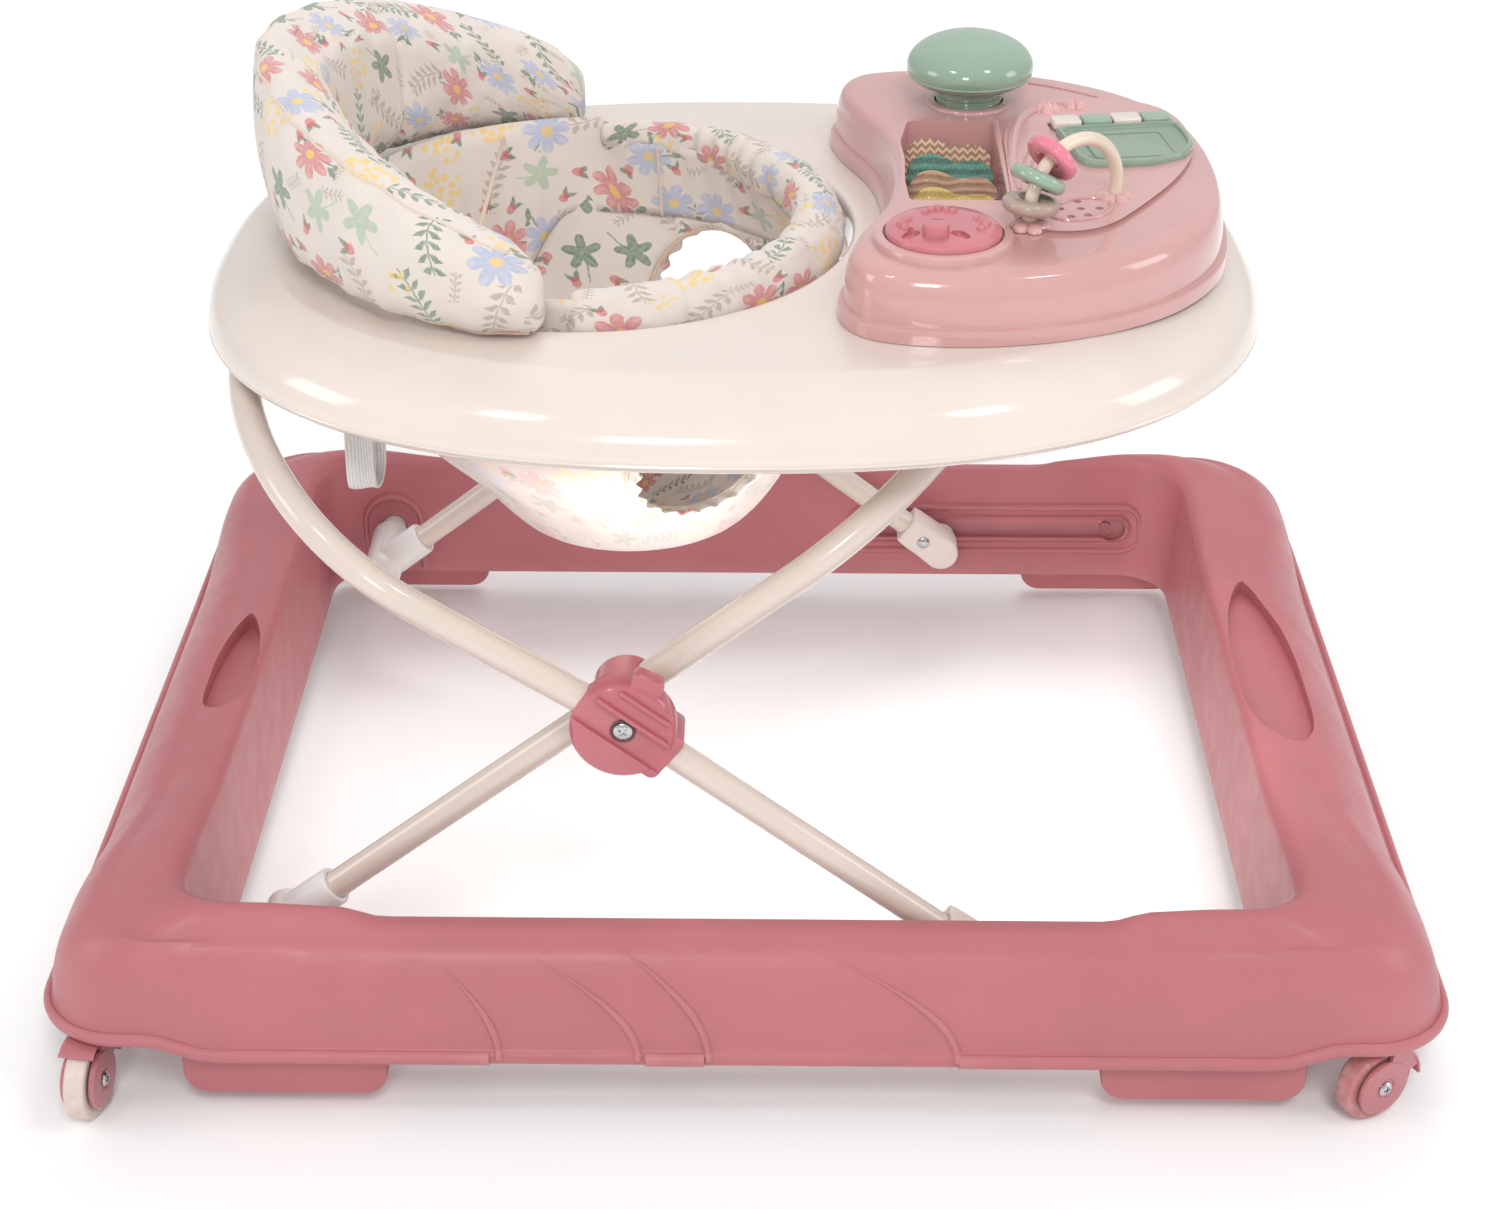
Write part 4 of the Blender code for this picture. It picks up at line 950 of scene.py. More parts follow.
def build_caster(label, sx, sy):
    yaw = math.radians(CASTER_YAW[label])
    ahead = Vector((math.cos(yaw), math.sin(yaw), 0.0))
    side = Vector((-ahead.y, ahead.x, 0.0))
    stem = Vector((sx * STEM[0], sy * STEM[1], 0.0))
    hub = stem + ahead * TRAIL + Vector((0, 0, WHEEL_R))
    face = WHEEL_HALF + 0.0005
    bm = bmesh.new()
    for sign in (-1, 1):
        lathe(((0.0026, face), (0.0148, face), (0.0155, face + 0.0006), (0.0155, face + 0.0022),
               (0.0149, face + 0.0030), (0.0120, face + 0.0034), (0.0060, face + 0.0032),
               (0.0052, face + 0.0024), (0.0026, face + 0.0024)), hub, side * sign, 48, into=bm)
    hood = []
    start, stop = math.radians(62), math.radians(178)
    for k in range(25):
        a = start + (stop - start) * k / 24
        out = ahead * math.cos(a) + Vector((0, 0, math.sin(a)))
        half = face + 0.0030
        hood.append([hub + out * r + side * w for r, w in (
            (WHEEL_R + 0.0009, -half), (WHEEL_R + 0.0018, -half - 0.0004), (WHEEL_R + 0.0027, -half + 0.0008),
            (WHEEL_R + 0.0030, 0.0), (WHEEL_R + 0.0027, half - 0.0008), (WHEEL_R + 0.0018, half + 0.0004),
            (WHEEL_R + 0.0009, half))])
    skin(hood, caps=True, into=bm)
    for sign in (-1, 1):
        arm = []
        for k in range(13):
            a = math.radians(100 + 62 * k / 12)
            out = ahead * math.cos(a) + Vector((0, 0, math.sin(a)))
            arm.append([hub + out * r + side * (sign * w) for r, w in (
                (0.0130, face + 0.0002), (0.0130, face + 0.0026), (WHEEL_R + 0.0020, face + 0.0026),
                (WHEEL_R + 0.0020, face + 0.0002))])
        skin(arm, caps=True, into=bm)
    lathe(((0.0, 0.0200), (0.0066, 0.0200), (0.0072, 0.0212), (0.0072, 0.0430), (0.0064, 0.0442),
           (0.0038, 0.0446),
           (0.0038, 0.0700), (0.0, 0.0710)), stem, (0, 0, 1), 32, into=bm)
    fork = raw_object("caster_housing_" + label, bm)
    room = lathe(((0, -face), (WHEEL_R + 0.0010, -face), (WHEEL_R + 0.0010, face), (0, face)), hub, side, 56)
    boolean(fork, room)
    piece(fork.name, fork, "caster", "swivel_" + label, ("caster_fork_" + label,))

    rim = lathe(((0.0026, 0.0048), (0.0160, 0.0048), (0.0172, 0.0052), (0.0196, 0.0052), (0.0206, 0.0044),
                 (WHEEL_R, 0.0030), (WHEEL_R, -0.0030), (0.0206, -0.0044), (0.0196, -0.0052),
                 (0.0172, -0.0052), (0.0160, -0.0048), (0.0026, -0.0048)), hub, side, 64)
    material = "tread_pink" if label == "front_near" else "tread"
    piece("caster_tyre_" + label, rim, material, "wheel_" + label, ("caster_wheel_" + label,))
    screw = bmesh.new()
    reach = face + 0.0034
    lathe(((0, -reach - 0.0012), (0.0030, -reach - 0.0009), (0.0039, -reach), (0.0039, 0.0015 - reach),
           (0.0022, 0.0015 - reach), (0.0022, reach - 0.0015), (0.0039, reach - 0.0015), (0.0039, reach),
           (0.0030, reach + 0.0009), (0, reach + 0.0012)), hub, side, 32, into=screw)
    shaft = raw_object("caster_screw_" + label, screw)
    cross = bmesh.new()
    for sign in (-1, 1):
        at = Matrix.Translation(hub + side * (sign * (reach + 0.0010))) @ aim(side)
        for long, wide in ((0.0021, 0.00045), (0.00045, 0.0021)):
            prism(((-long, -wide), (long, -wide), (long, wide), (-long, wide)), -0.0010, 0.0010,
                  place=at, into=cross)
    boolean(shaft, cross)
    piece(shaft.name, shaft, "steel", "swivel_" + label, ("caster_axle_" + label,))


# ---------------------------------------------------------------- scissor frame
REAR_LEG_Y, FRONT_LEG_Y = 0.2160, 0.1880
TUBE_R, TUBE_R_LOW, LEG_LOWER = 0.0078, 0.0074, 0.228


def u_tube(lower, upper, reach, leg_y, bend_start, flat_y):
    half = [(-(LEG_LOWER - 0.0135) + k * 0.025, leg_y) for k in range(8)]
    half += [(-0.0135, leg_y), (-0.0110, leg_y), (0.0, leg_y), (bend_start * 0.4, leg_y),
             (bend_start * 0.8, leg_y)]
    for i in range(37):
        angle = math.pi / 2 * i / 36
        half.append((bend_start + (reach - bend_start) * math.sin(angle),
                     flat_y + (leg_y - flat_y) * math.cos(angle)))
    run = half + [(s, -y) for s, y in reversed(half)]
    points = [HUB + (lower if s < 0 else upper) * s + Vector((0, -y, 0)) for s, y in run]
    radii = [TUBE_R_LOW if s < -0.012 else TUBE_R for s, _ in run]
    last = len(points) - 1
    return sweep(points, lambda share: radii[min(last, round(share * last))], 28)


def leg_frame(place, direction, side):
    """Local axes at a joint: x along the leg, y across it, z outwards from the seat."""
    x = Vector(direction).normalized()
    z = Vector((0, side, 0))
    y = z.cross(x)
    turn = Matrix((x, y, z)).transposed().to_4x4()
    return Matrix.Translation(place) @ turn


def bore(start, direction, radius, length, into=None):
    return lathe(((0, 0), (radius, 0), (radius, length), (0, length)), start, direction, 40, into=into)


def build_hub(label, side):
    split = (REAR_LEG_Y + FRONT_LEG_Y) / 2
    outer_face, inner_face = REAR_LEG_Y + 0.0130, FRONT_LEG_Y - 0.0130
    local = leg_frame(HUB, REAR_DIR, side)
    shell = bmesh.new()
    low = split + 0.0003
    lathe(((0.0, low), (0.0203, low), (0.0210, low + 0.0010), (0.0210, outer_face - 0.0156),
           (0.0260, outer_face - 0.0140), (0.0260, outer_face - 0.0050), (0.0254, outer_face - 0.0036),
           (0.0240, outer_face - 0.0023), (0.0, outer_face - 0.0021)),
          HUB, (0, side, 0), 72, into=shell)
    obj = raw_object("hub_cover_" + label, shell)
    ribs = bmesh.new()
    for offset, long in ((0.0082, 0.0215), (0.0180, 0.0150)):
        prism(rounded_box_outline((-long, side * offset - 0.0011), (long, side * offset + 0.0011), 0.0010, 4),
              outer_face - 0.004, outer_face + 0.0001, 0.0007, place=local, into=ribs)
    grip = Matrix.Rotation(math.radians(-78), 4, "Z")
    prism(rounded_box_outline((0.016, -0.0080), (0.0325, 0.0080), 0.0030, 5), outer_face - 0.0125,
          outer_face - 0.0035, 0.0012, place=local @ grip, into=ribs)
    prism(rounded_box_outline((-0.0285, -0.0140), (-0.010, 0.0140), 0.0042, 5), low + 0.0004,
          outer_face - 0.0032, 0.0012, place=local, into=ribs)
    boolean(obj, ribs, "UNION")
    cut = bmesh.new()
    prism(rounded_box_outline((-0.06, min(-0.0085 * side, 0.0068 * side)),
                              (0.06, max(-0.0085 * side, 0.0068 * side)),
                              0.003, 4), outer_face - 0.0042, outer_face + 0.01, place=local, into=cut)
    centre = HUB + Vector((0, side * REAR_LEG_Y, 0))
    bore(centre - REAR_UP_DIR * 0.001, REAR_UP_DIR, TUBE_R + 0.0004, 0.06, into=cut)
    bore(centre + REAR_DIR * 0.001, -REAR_DIR, TUBE_R + 0.0004, 0.06, into=cut)
    bore(HUB + Vector((0, side * 0.17, 0)), (0, side, 0), 0.0037, 0.1, into=cut)
    boolean(obj, cut)
    piece(obj.name, obj, "hub", "rear_leg", ("hub_outer_" + label,), 30)

    high = split - 0.0003
    inner = raw_object("hub_back_" + label, lathe(
        ((0.0, high), (0.0158, high), (0.0165, high - 0.0010), (0.0165, inner_face + 0.0060),
         (0.0140, inner_face + 0.0026), (0.0120, inner_face + 0.0012), (0.0, inner_face + 0.0010)),
        HUB, (0, side, 0), 72))
    centre = HUB + Vector((0, side * FRONT_LEG_Y, 0))
    cut = bore(centre - LEG_DIR * 0.05, LEG_DIR, TUBE_R + 0.0004, 0.1)
    bore(HUB + Vector((0, side * 0.15, 0)), (0, side, 0), 0.0037, 0.1, into=cut)
    boolean(inner, cut)
    piece(inner.name, inner, "hub", "front_leg", ("hub_inner_" + label,), 30)
    top = outer_face - 0.0042
    low = inner_face - 0.0004
    rivet = raw_object("hub_pin_" + label, lathe((
        (0.0, low - 0.0012), (0.0035, low - 0.0010), (0.0054, low - 0.0002), (0.0054, low + 0.0008),
        (0.0032, low + 0.0008), (0.0032, top + 0.0003), (0.0047, top + 0.0003), (0.0046, top + 0.0010),
        (0.0034, top + 0.0017), (0.0, top + 0.0019)), HUB, (0, side, 0), 40))
    cross = bmesh.new()
    for size in ((0.0028, 0.0006), (0.0006, 0.0028)):
        prism(rounded_box_outline((-size[0], -size[1]), size, 0.0004, 3), top + 0.0009, top + 0.01,
              place=local, into=cross)
    boolean(rivet, cross)
    piece(rivet.name, rivet, "steel", "rear_leg", ("hub_rivet_" + label,))
    # A dark ring round the pin's head on the channel floor: painted shadow.
    ring = lathe(((0.0048, top - 0.0002), (0.0062, top - 0.0002), (0.0064, top + 0.0004),
                  (0.0058, top + 0.0009),
                  (0.0050, top + 0.0005)), HUB, (0, side, 0), 40)
    piece("hub_pin_shadow_ring_" + label, ring, "gap", "rear_leg")


def build_leg_ends(label, side):
    leg = PIVOT + Vector((0, side * FRONT_LEG_Y, 0))
    bm = lathe(((0, -0.010), (0.0108, -0.010), (0.0120, -0.0088), (0.0120, 0.0385), (0.0110, 0.0398),
                (0.0078, 0.0400), (0.0078, 0.0560), (0.0062, 0.0580), (0, 0.0585)), leg, (0, side, 0), 48)
    obj = raw_object("pivot_collar_" + label, bm)
    sleeve = lathe(((0, 0.0), (0.0105, 0.0), (0.0105, 0.0325), (0.0098, 0.0340), (0.0, 0.0340)),
                   leg, LEG_DIR, 48)
    boolean(obj, sleeve, "UNION")
    boolean(obj, bore(leg + LEG_DIR * 0.0131, LEG_DIR, TUBE_R_LOW + 0.0003, 0.04))
    piece(obj.name, obj, "boss", "front_leg", ("pivot_boss_" + label,))

    leg = SLIDER + Vector((0, side * REAR_LEG_Y, 0))
    local = leg_frame(leg, REAR_DIR, side)
    outline = [Vector((0.0110 * math.cos(a), 0.0110 * math.sin(a)))
               for a in (math.pi / 2 + math.pi * k / 16 for k in range(17))]
    outline += [Vector((0.010, -0.0104)), Vector((0.0245, -0.0100)), Vector((0.0290, -0.0092)),
                Vector((0.0290, 0.0092)), Vector((0.0245, 0.0100)), Vector((0.010, 0.0104))]
    block = raw_object("slider_block_" + label, prism(outline, -0.0100, 0.0100, 0.0016, place=local))
    joined = lathe(((0, 0.004), (0.0036, 0.004), (0.0036, 0.0284), (0, 0.0290)), leg, (0, side, 0), 32)
    boolean(block, joined, "UNION")
    cut = bore(leg + REAR_DIR * 0.0131, REAR_DIR, TUBE_R_LOW + 0.0003, 0.04)
    boolean(block, cut)
    piece(block.name, block, "fitting", "rear_leg", ("slider_clevis_" + label,))
    screw = lathe(((0, -0.0116), (0.0030, -0.0112), (0.0042, -0.0103), (0.0042, -0.0092), (0, -0.0090)),
                  leg + REAR_DIR * 0.0150, (0, side, 0), 32)
    piece("slider_screw_" + label, screw, "steel", "rear_leg")
    middle = SLIDER + Vector((0, side * (REAR_LEG_Y + 0.0135), 0))
    roller = lathe(((0.0040, 0.0031), (0.0090, 0.0031), (0.0097, 0.0024), (0.0097, -0.0024),
                    (0.0090, -0.0031), (0.0040, -0.0031)), middle, (0, side, 0), 48)
    piece("slot_roller_" + label, roller, "boss", "roller_" + label,
          ("slider_roller_" + label,))


def build_linkage():
    piece("rear_tube", u_tube(REAR_DIR, REAR_UP_DIR, 0.236, REAR_LEG_Y, 0.118, 0.045), "tube", "rear_leg",
          ("rear_leg_tube",))
    piece("front_tube", u_tube(LEG_DIR, LEG_DIR, 0.245, FRONT_LEG_Y, 0.102, 0.045), "tube", "front_leg",
          ("front_leg_tube",))
    for label, side in SIDES:
        build_hub(label, side)
        build_leg_ends(label, side)


# ---------------------------------------------------------------- tray
TRAY_CENTRE_X, TRAY_HALF, TRAY_POWER = -0.0085, (0.2720, 0.2210), 2.4
TRAY_LIP_Z, TRAY_TOP_Z = 0.3315, 0.3695
SEAT_X, SEAT_R = -0.085, 0.1380


def tray_outline(angle, inset=0.0):
    c, s = math.cos(angle), math.sin(angle)
    power = 2.0 / TRAY_POWER
    return Vector((TRAY_CENTRE_X + (TRAY_HALF[0] - inset) * signed_power(c, power),
                   (TRAY_HALF[1] - inset) * signed_power(s, power)))


def build_tray():
    angles = turns(176)
    lip = TRAY_LIP_Z + 0.0010
    shoulder = catmull(((0.0050, lip), (0.0010, lip + 0.003), (0.0000, lip + 0.009), (0.0035, lip + 0.0195),
                        (0.0120, lip + 0.0285), (0.0230, lip + 0.0340), (0.0340, TRAY_TOP_Z)), 5)
    rows = [[Vector((*tray_outline(a, p.x), p.y)) for a in angles] for p in shoulder]

    def ring(radius, z):
        out = []
        for a in angles:
            toward = (tray_outline(a) - Vector((SEAT_X, 0.0))).normalized()
            out.append(Vector((SEAT_X + toward.x * radius, toward.y * radius, z)))
        return out

    outer, inner = rows[-1], ring(SEAT_R + 0.0055, TRAY_TOP_Z)
    rows += [[a.lerp(b, share) for a, b in zip(outer, inner)] for share in (0.04, 0.3, 0.6, 0.96)]
    hem = catmull(((SEAT_R + 0.0055, TRAY_TOP_Z), (SEAT_R + 0.0022, TRAY_TOP_Z - 0.0004),
                   (SEAT_R + 0.0004, TRAY_TOP_Z - 0.0030), (SEAT_R - 0.0006, TRAY_TOP_Z - 0.009),
                   (SEAT_R - 0.001, TRAY_TOP_Z - 0.016)), 3)
    rows += [ring(p.x, p.y) for p in hem]
    obj = solidify(raw_object("tray_moulding", skin(rows)), 0.0022)
    piece("tray_moulding", obj, "tray", "tray", ("tray_shell",), 45)
    line = [Vector((*tray_outline(a, 0.0004), lip + 0.0052)) for a in turns(240)]
    bead = sweep(line, 0.0009, 8, closed=True)
    piece("tray_rim_bead", bead, "tray", "tray")


# ---------------------------------------------------------------- console
DECK_Z = 0.4040
FOOT_Z = TRAY_TOP_Z + 0.0004
CONSOLE_HALF = ((0.0690, 0.000), (0.0640, 0.048), (0.0480, 0.094), (0.0440, 0.126), (0.0590, 0.149),
                (0.0960, 0.157), (0.1370, 0.153), (0.1750, 0.139), (0.2095, 0.113), (0.2345, 0.074),
                (0.2440, 0.028))
DIAL_AT = Vector((DIAL.x, DIAL.y, DECK_Z))
MUSHROOM_AT = Vector((MUSHROOM.x, MUSHROOM.y, DECK_Z))
ARCH_FEET = (Vector((0.1370, -0.0920, DECK_Z)), Vector((0.1815, -0.0550, DECK_Z)))
ARCH_RISE, ARCH_TUBE_R = 0.0380, 0.0034
KEYS_AT = Matrix.Translation((0.1920, 0.0440, DECK_Z)) @ Matrix.Rotation(math.radians(9.0), 4, "Z")


def console_loop(inset, per_span=9):
    far = list(CONSOLE_HALF[::-1])
    near = [(x, -y) for x, y in CONSOLE_HALF[1:]]
    loop = catmull([Vector(p) for p in far + near], per_span, closed=True)
    count = len(loop)
    out = []
    for i in range(count):
        tangent = (loop[(i + 1) % count] - loop[i - 1]).normalized()
        out.append(loop[i] + Vector((-tangent.y, tangent.x)) * inset)
    return out


DAIS = ((0.1580, 0.0850), (0.1440, 0.0690), (0.1345, 0.0380), (0.1330, -0.0200), (0.1325, -0.0620),
        (0.1330, -0.0900), (0.1480, -0.1010), (0.1720, -0.0960), (0.1940, -0.0640), (0.2140, -0.0300),
        (0.2290, 0.0100), (0.2290, 0.0480), (0.2210, 0.0760), (0.2010, 0.0900), (0.1740, 0.0910))[::-1]
DAIS_RISE = 0.0020


def blossom(place, radius, petals, height, turn=0.0, into=None):
    """Domed flower: petals round a raised eye."""
    bm = into or bmesh.new()
    count, levels = petals * 14, 9
    rows = []
    for k in range(levels):
        share = 1.0 - k / (levels - 1) * 0.96
        ring = []
        for a in turns(count):
            lobe = abs(math.cos((a + turn) * petals / 2)) ** 0.6
            r = radius * (0.70 + 0.30 * lobe) * share
            dome = height * (1.0 - share ** 3.2) * (0.80 + 0.20 * lobe) - height * 0.35 * math.exp(
                -((share - 0.36) / 0.10) ** 2)
            ring.append(Vector(place) + Vector((r * math.cos(a), r * math.sin(a), dome)))
        rows.append(ring)
    base = [p - Vector((0, 0, 0.0012)) for p in rows[0]]
    return skin([base] + rows, caps=True, into=bm)


def build_console():
    steps = catmull(((0.0, FOOT_Z), (0.0002, FOOT_Z + 0.0060), (0.0008, FOOT_Z + 0.0072),
                     (0.0030, FOOT_Z + 0.0078),
                     (0.0032, FOOT_Z + 0.0095), (0.0036, FOOT_Z + 0.0205), (0.0058, DECK_Z - 0.0048),
                     (0.0098, DECK_Z - 0.0012), (0.0165, DECK_Z)), 4)
    rows = [[Vector((*p, level.y)) for p in console_loop(level.x)] for level in steps]
    rows.append([Vector((*p, DECK_Z)) for p in console_loop(0.0180)])
    obj = raw_object("console_cover", skin(rows))
    bm = bmesh.new()
    bm.from_mesh(obj.data)
    bmesh.ops.contextual_create(bm, geom=[e for e in bm.edges if e.is_boundary
                                          and e.verts[0].co.z > DECK_Z - 1e-5])
    bm.to_mesh(obj.data)
    bm.free()
    solidify(obj, 0.0025)
    well = rounded_outline(((0.1290, -0.0560), (0.1290, 0.0600), (0.0835, 0.0600), (0.0785, 0.0300),
                            (0.0800, 0.0050), (0.0788, -0.0250), (0.0800, -0.0560)), 0.0040)
    count = len(well)
    wider = []
    for i in range(count):
        tangent = (well[(i + 1) % count] - well[i - 1]).normalized()
        wider.append(well[i] - Vector((-tangent.y, tangent.x)) * 0.0020)
    add = prism(wider, 0.3755, DECK_Z - 0.001)
    prism(rounded_outline(DAIS, 0.020, 8), DECK_Z - 0.0015, DECK_Z + DAIS_RISE, 0.0018, 5, into=add)
    lathe(((0, -0.0015), (0.0348, -0.0015), (0.0345, 0.0004), (0.0336, 0.0030), (0.0324, 0.0040),
           (0, 0.0040)),
          DIAL_AT, (0, 0, 1), 96, into=add)
    lathe(((0, -0.0015), (0.0240, -0.0015), (0.0235, 0.0004), (0.0228, 0.0012), (0.0218, 0.0015),
           (0, 0.0015)),
          MUSHROOM_AT, (0, 0, 1), 96, into=add)
    boolean(obj, add, "UNION")
    cut = prism(well, 0.3775, DECK_Z + 0.01)
    lathe(((0, 0.0006), (0.0293, 0.0006), (0.0293, 0.02), (0, 0.02)), DIAL_AT, (0, 0, 1), 96, into=cut)
    lathe(((0, -0.02), (0.0040, -0.02), (0.0040, 0.01), (0, 0.01)), DIAL_AT, (0, 0, 1), 32, into=cut)
    lathe(((0, -0.02), (0.0188, -0.02), (0.0188, 0.02), (0, 0.02)), MUSHROOM_AT, (0, 0, 1), 96, into=cut)
    prism(rounded_box_outline((-0.0336, -0.0010), (0.0340, 0.0132), 0.0024, 4), 0.00005, 0.012,
          place=KEYS_AT, into=cut)
    for x, y in ((0.1575, -0.0820), (0.1660, -0.0800), (0.1725, -0.0710), (0.1625, -0.0620),
                 (0.1530, -0.0720),
                 (0.1632, -0.0715)):
        lathe(((0, -0.008), (0.0021, -0.008), (0.0021, 0.01), (0, 0.01)), (x, y, DECK_Z), (0, 0, 1), 20,
              into=cut)
    boolean(obj, cut)
    piece("console_cover", obj, "console", "console", ("console_shell",), 28)

    rim = bmesh.new()
    right = [Vector((0.1302, y, DECK_Z + 0.0004)) for y in (-0.054, -0.03, 0.0, 0.03, 0.057)]
    sweep(catmull(right, 6), 0.001, 10, flat=(0.0015, 0.0011), up=(0, 0, 1), into=rim)
    bump_line = console_loop(0.0250)
    part = [Vector((*p, DECK_Z + 0.0001)) for p in bump_line if p.x > 0.150 and 0.060 < p.y < 0.130]
    sweep(part, 0.0008, 8, into=rim)
    dish = []
    for a in turns(56):
        u, v = 0.0180 * math.cos(a), 0.0125 * math.sin(a)
        along = (ARCH_FEET[1] - ARCH_FEET[0]).normalized()
        across = Vector((-along.y, along.x, 0))
        dish.append(Vector((0.1632, -0.0725, DECK_Z + DAIS_RISE + 0.0002)) + along * u + across * v)
    sweep(dish, 0.001, 10, closed=True, flat=(0.0012, 0.0010), up=(0, 0, 1), into=rim)
    for path in (((0.166, 0.083), (0.149, 0.067), (0.1395, 0.041), (0.1348, -0.0016), (0.1352, -0.046)),
                 ((0.156, 0.0265), (0.1475, 0.010), (0.1420, -0.012), (0.1410, -0.036))):
        run = catmull([Vector((*p, DECK_Z + DAIS_RISE - 0.0002)) for p in path], 10)
        sweep(run, lambda share: 0.0030 * math.sin(math.pi * (0.06 + 0.88 * share)) ** 0.5, 10, into=rim)
    piece("console_relief", rim, "console", "console")

    floor = prism([p * 1.0 for p in well], 0.3776, 0.3784)
    piece("console_well_floor", floor, "well", "console")
    flowers = bmesh.new()
    blossom(ARCH_FEET[0] + Vector((0, 0, 0.0016)), 0.0105, 6, 0.0040, 0.3, into=flowers)
    blossom(ARCH_FEET[1] + Vector((0, 0, 0.0016)), 0.0105, 6, 0.0040, 0.0, into=flowers)
    blossom((0.1590, 0.0740, DECK_Z + 0.0016), 0.0085, 5, 0.0042, 0.4, into=flowers)
    blossom((0.1745, 0.0800, DECK_Z + 0.0016), 0.0080, 5, 0.0042, 0.9, into=flowers)
    piece("console_flower_bosses", flowers, "flower", "console", sharp=60)


def build_controls():
    dome = [(0.0345 * math.sin(k * math.pi / 24), 0.0205 + 0.0180 * math.cos(k * math.pi / 24))
            for k in range(13)]
    under = [(0.0343, 0.0188), (0.0338, 0.0172), (0.0340, 0.0164), (0.0334, 0.0154), (0.0318, 0.0142),
             (0.0290, 0.0124), (0.0250, 0.0108), (0.0205, 0.0098), (0.0184, 0.0092), (0.0178, 0.0084),
             (0.0176, 0.0050), (0.0184, 0.0044), (0.0184, 0.0034), (0.0180, 0.0030), (0.0180, -0.0180),
             (0.0, -0.0180)]
    cap = lathe(dome + under, MUSHROOM_AT, (0, 0, 1), 96)
    piece("mushroom_cap", cap, "mint", "mushroom", ("mushroom_button",), 28)

    disc = raw_object("dial_disc", lathe(
        [(0.0, 0.0078), (0.0100, 0.0078), (0.0200, 0.0077), (0.0262, 0.0072), (0.0278, 0.0062),
         (0.0283, 0.0048),
         (0.0283, 0.0012), (0.0036, 0.0012), (0.0036, -0.0080), (0.0, -0.0080)], DIAL_AT, (0, 0, 1), 96))
    bumps = bmesh.new()
    for centre_deg in (5, 95, 180):
        for k in range(-2, 3):
            a = math.radians(centre_deg + k * 11)
            r = 0.0205 - 0.0012 * abs(k)
            at = DIAL_AT + Vector((r * math.cos(a), r * math.sin(a), 0.0070))
            size = 0.0027 - 0.0002 * abs(k)
            lathe([(0.0, size * 1.15), (size * 0.55, size * 0.95), (size * 0.9, size * 0.5), (size, 0.0),
                   (size, -0.003), (0, -0.003)], at, (0, 0, 1), 20, into=bumps)
    knob_at = DIAL_AT + Vector((-0.0045, -0.0120, 0.0))
    lathe([(0.0, 0.0138), (0.0050, 0.0137), (0.0060, 0.0132), (0.0064, 0.0120), (0.0066, 0.0040),
           (0, 0.0040)],
          knob_at, (0, 0, 1), 32, into=bumps)
    boolean(disc, bumps, "UNION")
    dents = bmesh.new()
    for sx in (-1, 1):
        at = DIAL_AT + Vector((-0.0045 + sx * 0.0118, -0.0125, 0.0))
        prism(rounded_box_outline((-0.0034, -0.0058), (0.0034, 0.0058), 0.0032, 5), 0.0060, 0.012,
              place=Matrix.Translation(at) @ Matrix.Rotation(sx * 0.5, 4, "Z"), into=dents)
    boolean(disc, dents)
    piece("dial_disc", disc, "dial", "dial", ("dial",), 30)

    height, lean = 0.0240, math.radians(28)
    up = Vector((0, math.sin(lean), math.cos(lean)))
    out = Vector((0, math.cos(lean), -math.sin(lean)))
    for number in range(1, 5):
        hinge = joint_place("page_turn_%d" % number)
        columns, rows = 46, []
        for i in range(columns + 1):
            share = i / columns
            x = -0.0225 + 0.0450 * share
            wave = 0.0011 * math.sin(3 * math.pi * x / 0.0225)
            hump = math.exp(-((share - 0.26) / 0.24) ** 2) + 0.35 * math.exp(-((share - 0.78) / 0.20) ** 2)
            edge = math.sin(math.pi * min(share, 1 - share) * 4) if min(share, 1 - share) < 0.125 else 1.0
            tall = height * (0.76 + 0.24 * min(1.0, hump)) * (0.82 + 0.18 * edge)
            ring = []
            for u, v in ((-1, 0.02), (-1.05, 0.3), (-1.05, 0.7), (-0.8, 0.96), (0.0, 1.0), (0.8, 0.96),
                         (1.05, 0.7),
                         (1.05, 0.3), (1, 0.02), (0, 0.0)):
                ring.append(Vector((hinge.x + x, hinge.y, hinge.z)) + up * (tall * v)
                            + out * (0.0016 * u + wave * v))
            rows.append(ring)
        leaf = skin(rows, caps=True)
        piece("page_leaf_%d" % number, leaf, "leaf_%d" % number, "page_%d" % number,
              ("page_%d" % number,), 50)

    left, right = ARCH_FEET
    along = (right - left).normalized()
    half = (right - left).length / 2
    radius = (half ** 2 + ARCH_RISE ** 2) / (2 * ARCH_RISE)
    centre = (left + right) / 2 + Vector((0, 0, ARCH_RISE - radius))
    sink = math.asin((ARCH_RISE - radius - 0.0012) / radius)
    path = []
    for i in range(65):
        angle = -sink + (math.pi + 2 * sink) * i / 64
        path.append(centre - along * radius * math.cos(angle) + Vector((0, 0, radius * math.sin(angle))))
    piece("ring_arch", sweep(path, ARCH_TUBE_R, 24), "arch", "console", ("bead_arch",))
    wide, thick = 0.0140, 0.0037
    for number, (angle_deg, material) in enumerate(((8, "taupe"), (32, "mint"), (56, "rose")), 1):
        angle = math.radians(angle_deg)
        place = centre + Vector((0, 0, radius * math.sin(angle))) - along * radius * math.cos(angle)
        direction = along * math.sin(angle) + Vector((0, 0, math.cos(angle)))
        profile = []
        mid, reach = (wide + 0.0047) / 2, (wide - 0.0047) / 2
        for a in turns(28):
            c, s = math.cos(a), math.sin(a)
            profile.append((mid + reach * signed_power(c, 0.85), thick * signed_power(s, 0.8)))
        bead = lathe(profile, place, direction, 64)
        piece("arch_ring_%d" % number, bead, material, "ring_%d" % number, ("ring_%d" % number,),
              60)


